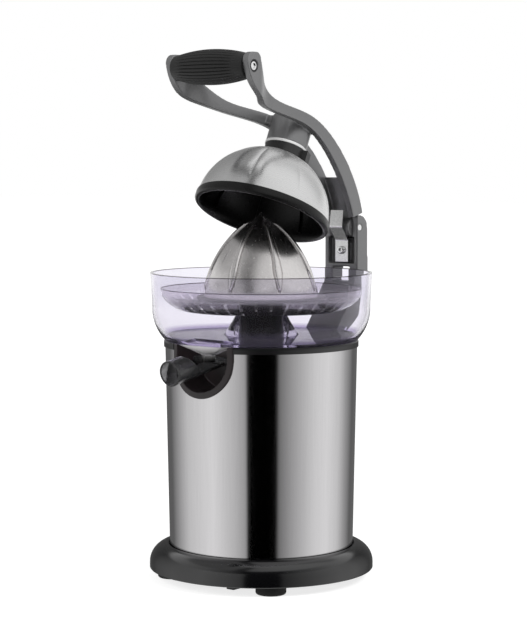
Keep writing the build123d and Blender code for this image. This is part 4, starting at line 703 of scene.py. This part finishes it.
for row in range(dome_rows + 1):
    polar = math.radians(dome_rim * (1 - row / dome_rows) + dome_crown * row / dome_rows)
    height = dome_centre + dome_ball * math.cos(polar)
    ends = eased_step((height - crease_low) / crease_run) * eased_step((crease_high - height) / crease_run)
    for turn, offset in dome_turns:
        apart = dome_ball * math.sin(polar) * offset
        ball = dome_ball - crease_depth * math.exp(-apart / crease_width) * ends
        x, y = ball * math.sin(polar) * math.cos(turn), ball * math.sin(polar) * math.sin(turn)
        dome_points.append((x / 1000, y / 1000, (dome_centre + ball * math.cos(polar)) / 1000))
for row in range(dome_rows):
    for k in range(across):
        here, beside = row * across + k, row * across + (k + 1) % across
        dome_faces.append((here, beside, beside + across, here + across))
dome_faces.append(tuple(range(dome_rows * across, (dome_rows + 1) * across)))
dome_mesh = bpy.data.meshes.new("dome")
dome_mesh.from_pydata(dome_points, [], dome_faces)
dome_cup = thickened(dome_mesh, dome_wall)
dressed("press_dome", dome_cup, dome_steel, "arm", "dome_shell", press_axis, crease=50)
paint(plated, "dome_bolt")

# Dome liner: a black moulding that lines the dome and wraps its rim with a
# round bead. Eight low fins inside grip the peel.
liner_black = finish("liner_black", (0.003, 0.003, 0.003), 0.3, grain=1200, relief=0.15)
shader_of(liner_black).inputs["Specular IOR Level"].default_value = 0.3
room_ball, room_centre, room_rim = 57.44, -5.74, 84.2
back_ball, back_centre, back_rim = 59.3, -5.9, 84.0
liner_steps = 40
bead = [(57.3, -7.3), (57.9, -8.2), (58.9, -8.5), (60.3, -8.4), (61.4, -7.6), (61.95, -6.2), (62.0, -4.0),
        (61.95, -1.6), (61.6, -0.5), (60.8, 0.0), (59.2, 0.0)]
fin_count, fin_half, fin_root, fin_height, fin_start, fin_run = 8, 1.0, 0.4, 2.6, 12, 10
fin_polars = range(14, 85, 5)
room = arc((0, room_centre), room_ball, 90, 90 - room_rim, liner_steps)
back = arc((0, back_centre), back_ball, 90 - back_rim, 90, liner_steps)
liner = turned([(0, room[0][1])] + room[1:] + bead + back[1:-1] + [(0, back[-1][1])])
fin_rings = []
for polar in fin_polars:
    out, up = math.sin(math.radians(polar)), math.cos(math.radians(polar))
    root = room_ball + fin_root
    edge = room_ball - fin_height * eased_step((polar - fin_start) / fin_run)
    corners = ((root, -fin_half), (root, fin_half), (edge, fin_half), (edge, -fin_half))
    fin_rings.append([(ball * out, side, room_centre + ball * up) for ball, side in corners])
fin_turns = [Matrix.Rotation(2 * math.pi * k / fin_count, 4, "Z") for k in range(fin_count)]
fins = [moved(ring_stack(fin_rings), fin_turn) for fin_turn in fin_turns]
dressed("dome_lining", joined(liner, *fins), liner_black, "arm", "dome_liner", press_axis)

# Dome neck: a black moulding with a key block, between the dome and the
# boss. A bright ring lies on it, and the dome's bolt clamps both.
neck_black = finish("neck_black", (0.012, 0.012, 0.012), 0.4, grain=1300, relief=0.2)
ring_bright = finish("ring_bright", (0.75, 0.75, 0.75), 0.35, 0.3, grain=1500, vary=0.05)
ring_bore, ring_radius, ring_low, ring_high, ring_ease = 4.3, 19.4, 61.95, 64.45, 0.5
ring_corners = [(ring_bore, ring_low), (ring_radius, ring_low), (ring_radius, ring_high),
                (ring_bore, ring_high)]
ring_mesh = turned(eased(ring_corners, ring_ease), 96)
paint(neck_black, "dome_neck")
dressed("bright_band", ring_mesh, ring_bright, "arm", "neck_ring", neck_axis)

# Studio: a pale floor, white surroundings and two soft lamps. A round wall
# of panels in three storeys, which only reflections see, gives the polished
# steel its light and dark stripes.
picture_width, picture_height, focal_pixels, film_height = 527, 623, 2033.4, 36.0
camera_turn, camera_tilt = math.radians(39.0), math.radians(4.42)
camera_distance, camera_height, camera_aside = 1.829, 0.3821, 0.002
right = Vector((math.cos(camera_turn), math.sin(camera_turn), 0))
away = Vector((-math.sin(camera_turn), math.cos(camera_turn), 0))
ahead = away * math.cos(camera_tilt) - Vector((0, 0, math.sin(camera_tilt)))
above = away * math.sin(camera_tilt) + Vector((0, 0, math.cos(camera_tilt)))
camera_data = bpy.data.cameras.new("camera")
camera_data.sensor_fit = "VERTICAL"
camera_data.sensor_height = film_height
camera_data.sensor_width = film_height * picture_width / picture_height
camera_data.lens = film_height * focal_pixels / picture_height
camera_data.clip_end = 50.0
camera = bpy.data.objects.new("camera", camera_data)
scene.collection.objects.link(camera)
spot = away * -camera_distance + right * camera_aside
spot += Vector((0, reamer_axis.translation.y, camera_height))
camera.matrix_world = Matrix((
    (right.x, above.x, -ahead.x, spot.x),
    (right.y, above.y, -ahead.y, spot.y),
    (right.z, above.z, -ahead.z, spot.z),
    (0, 0, 0, 1)))
scene.camera = camera

room_light, shown_white = 0.36, 1.0
world = bpy.data.worlds.new("studio")
scene.world = world
world.use_nodes = True
tree = world.node_tree
path = tree.nodes.new("ShaderNodeLightPath")
seen = worked(tree, "MAXIMUM", path.outputs["Is Camera Ray"], path.outputs["Is Glossy Ray"])
shown = worked(tree, "MAXIMUM", seen, path.outputs["Is Transmission Ray"])
background = tree.nodes["Background"]
background.inputs["Color"].default_value = (1, 1, 1, 1)
tree.links.new(ranged(tree, shown, 0, 1, room_light, shown_white), background.inputs["Strength"])

floor_half, floor_grey, near_white, far_white, near_edge, far_edge = 12, 0.45, 0.78, 1.0, 0.3, 2.5
floor_mesh = bpy.data.meshes.new("floor")
floor_corners = [(x * floor_half, y * floor_half, 0) for x, y in ((-1, -1), (1, -1), (1, 1), (-1, 1))]
floor_mesh.from_pydata(floor_corners, [], [(0, 1, 2, 3)])
floor = bpy.data.objects.new("floor", floor_mesh)
scene.collection.objects.link(floor)
floor_pale = bpy.data.materials.new("floor_pale")
floor_pale.use_nodes = True
tree, shader = floor_pale.node_tree, shader_of(floor_pale)
shader.inputs["Base Color"].default_value = (floor_grey, floor_grey, floor_grey, 1)
shader.inputs["Roughness"].default_value = 0.9
shader.inputs["Specular IOR Level"].default_value = 0.0
shader.inputs["Emission Color"].default_value = (1, 1, 1, 1)
path = tree.nodes.new("ShaderNodeLightPath")
place = tree.nodes.new("ShaderNodeTexCoord")
from_middle = tree.nodes.new("ShaderNodeVectorMath")
from_middle.operation = "LENGTH"
tree.links.new(place.outputs["Object"], from_middle.inputs[0])
white = ranged(tree, from_middle.outputs["Value"], near_edge, far_edge, near_white, far_white)
seen = worked(tree, "MAXIMUM", path.outputs["Is Camera Ray"], path.outputs["Is Transmission Ray"])
tree.links.new(worked(tree, "MULTIPLY", seen, white), shader.inputs["Emission Strength"])
floor_mesh.materials.append(floor_pale)
floor.visible_glossy = False

wall_steps, wall_radius, wall_foot, wall_top = 96, 0.36, 0.3, 1.6
wall_points, wall_faces = [], []
for k in range(wall_steps):
    angle = 2 * math.pi * k / wall_steps
    reach = -away * math.cos(angle) * wall_radius + right * math.sin(angle) * wall_radius
    wall_points += [(reach.x, reach.y, -wall_foot), (reach.x, reach.y, wall_top)]
    after = (k + 1) % wall_steps
    wall_faces.append((2 * k, 2 * after, 2 * after + 1, 2 * k + 1))
wall_mesh = bpy.data.meshes.new("panels")
wall_mesh.from_pydata(wall_points, [], wall_faces)
wall = bpy.data.objects.new("panels", wall_mesh)
wall.matrix_world = reamer_axis
scene.collection.objects.link(wall)
panel_light = bpy.data.materials.new("panel_light")
panel_light.use_nodes = True
tree = panel_light.node_tree
tree.nodes.remove(shader_of(panel_light))
glow = tree.nodes.new("ShaderNodeEmission")
tree.links.new(glow.outputs["Emission"], tree.nodes["Material Output"].inputs["Surface"])
place = tree.nodes.new("ShaderNodeTexCoord")
turn = tree.nodes.new("ShaderNodeMapping")
turn.inputs["Rotation"].default_value = (0, 0, -camera_turn)
tree.links.new(place.outputs["Object"], turn.inputs["Vector"])
parts = tree.nodes.new("ShaderNodeSeparateXYZ")
tree.links.new(turn.outputs["Vector"], parts.inputs["Vector"])
frontward = worked(tree, "MULTIPLY", parts.outputs["Y"], -1.0)
bearing = worked(tree, "ARCTAN2", parts.outputs["X"], frontward)
round_share = ranged(tree, bearing, -math.pi, math.pi)
# How bright each storey is at an angle in degrees, from the camera round to
# the right. The low storey's angles are the directions that the drum mirrors.
# Its rays leave from its skin, not its axis, so those panels are set back.
low_bands = [(-180, 0.1), (-142, 0.14), (-121, 0.42), (-100, 0.74), (-62, 0.95), (-33, 0.65), (-19, 0.45),
             (-16, 0.0), (18.5, 0.0), (21.5, 0.22), (42, 0.51), (68, 0.84), (87, 0.95), (108, 0.76),
             (123, 0.43), (142, 0.14)]
middle_bands = [(-180, 1.0), (-120, 0.9), (-62, 0.7), (-33, 0.3), (-18, 0.02), (18, 0.02), (42, 0.4),
                (87, 0.95), (179, 1.0)]
high_bands = [(-180, 0.5), (-165, 0.3), (-144, 0.33), (-125, 0.4), (-100, 0.5), (-62, 0.5), (-36, 0.55),
              (-30, 0.12), (-20, 0.12), (-12, 0.75), (20, 0.9), (42, 0.95), (70, 1.0), (100, 0.95),
              (119, 0.55), (140, 0.8), (163, 0.9), (179, 0.6)]
middle_start, middle_full, high_start, high_full = 0.21, 0.24, 0.36, 0.42
drum_share = drum_radius(drum_top) / 1000 / wall_radius


def storey(bands, set_back=0.0):
    """The light of one storey of panels."""
    stops = []
    for angle, light in bands:
        angle -= math.degrees(math.asin(set_back * math.sin(math.radians(angle / 2))))
        stops.append(((angle + 180) / 360, (light, light, light, 1)))
    return banded(tree, round_share, stops).outputs["Color"]


to_middle = ranged(tree, parts.outputs["Z"], middle_start, middle_full)
to_high = ranged(tree, parts.outputs["Z"], high_start, high_full)
lower_light = mixed(tree, to_middle, storey(low_bands, drum_share), storey(middle_bands))
tree.links.new(mixed(tree, to_high, lower_light, storey(high_bands)), glow.inputs["Color"])
wall_mesh.materials.append(panel_light)
wall.visible_camera = False
wall.visible_diffuse = False
wall.visible_transmission = False
wall.visible_shadow = False


def lamp(name, spot, aim, size, power):
    """A soft square lamp turned towards a point."""
    data = bpy.data.lights.new(name, "AREA")
    data.size = size
    data.energy = power
    holder = bpy.data.objects.new(name, data)
    scene.collection.objects.link(holder)
    holder.location = spot
    holder.visible_glossy = False
    holder.visible_transmission = False
    holder.rotation_euler = (Vector(aim) - Vector(spot)).to_track_quat("-Z", "Y").to_euler()


key_spot = -away * 1.2 + right * 1.3 + Vector((0, 0, 1.6))
fill_spot = -away * 1.3 - right * 1.4 + Vector((0, 0, 1.2))
lamp("key", key_spot, aim=(0, 0, 0.3), size=0.9, power=34.0)
lamp("fill", fill_spot, aim=(0, 0, 0.25), size=1.2, power=26.0)

scene.view_settings.view_transform = "Standard"
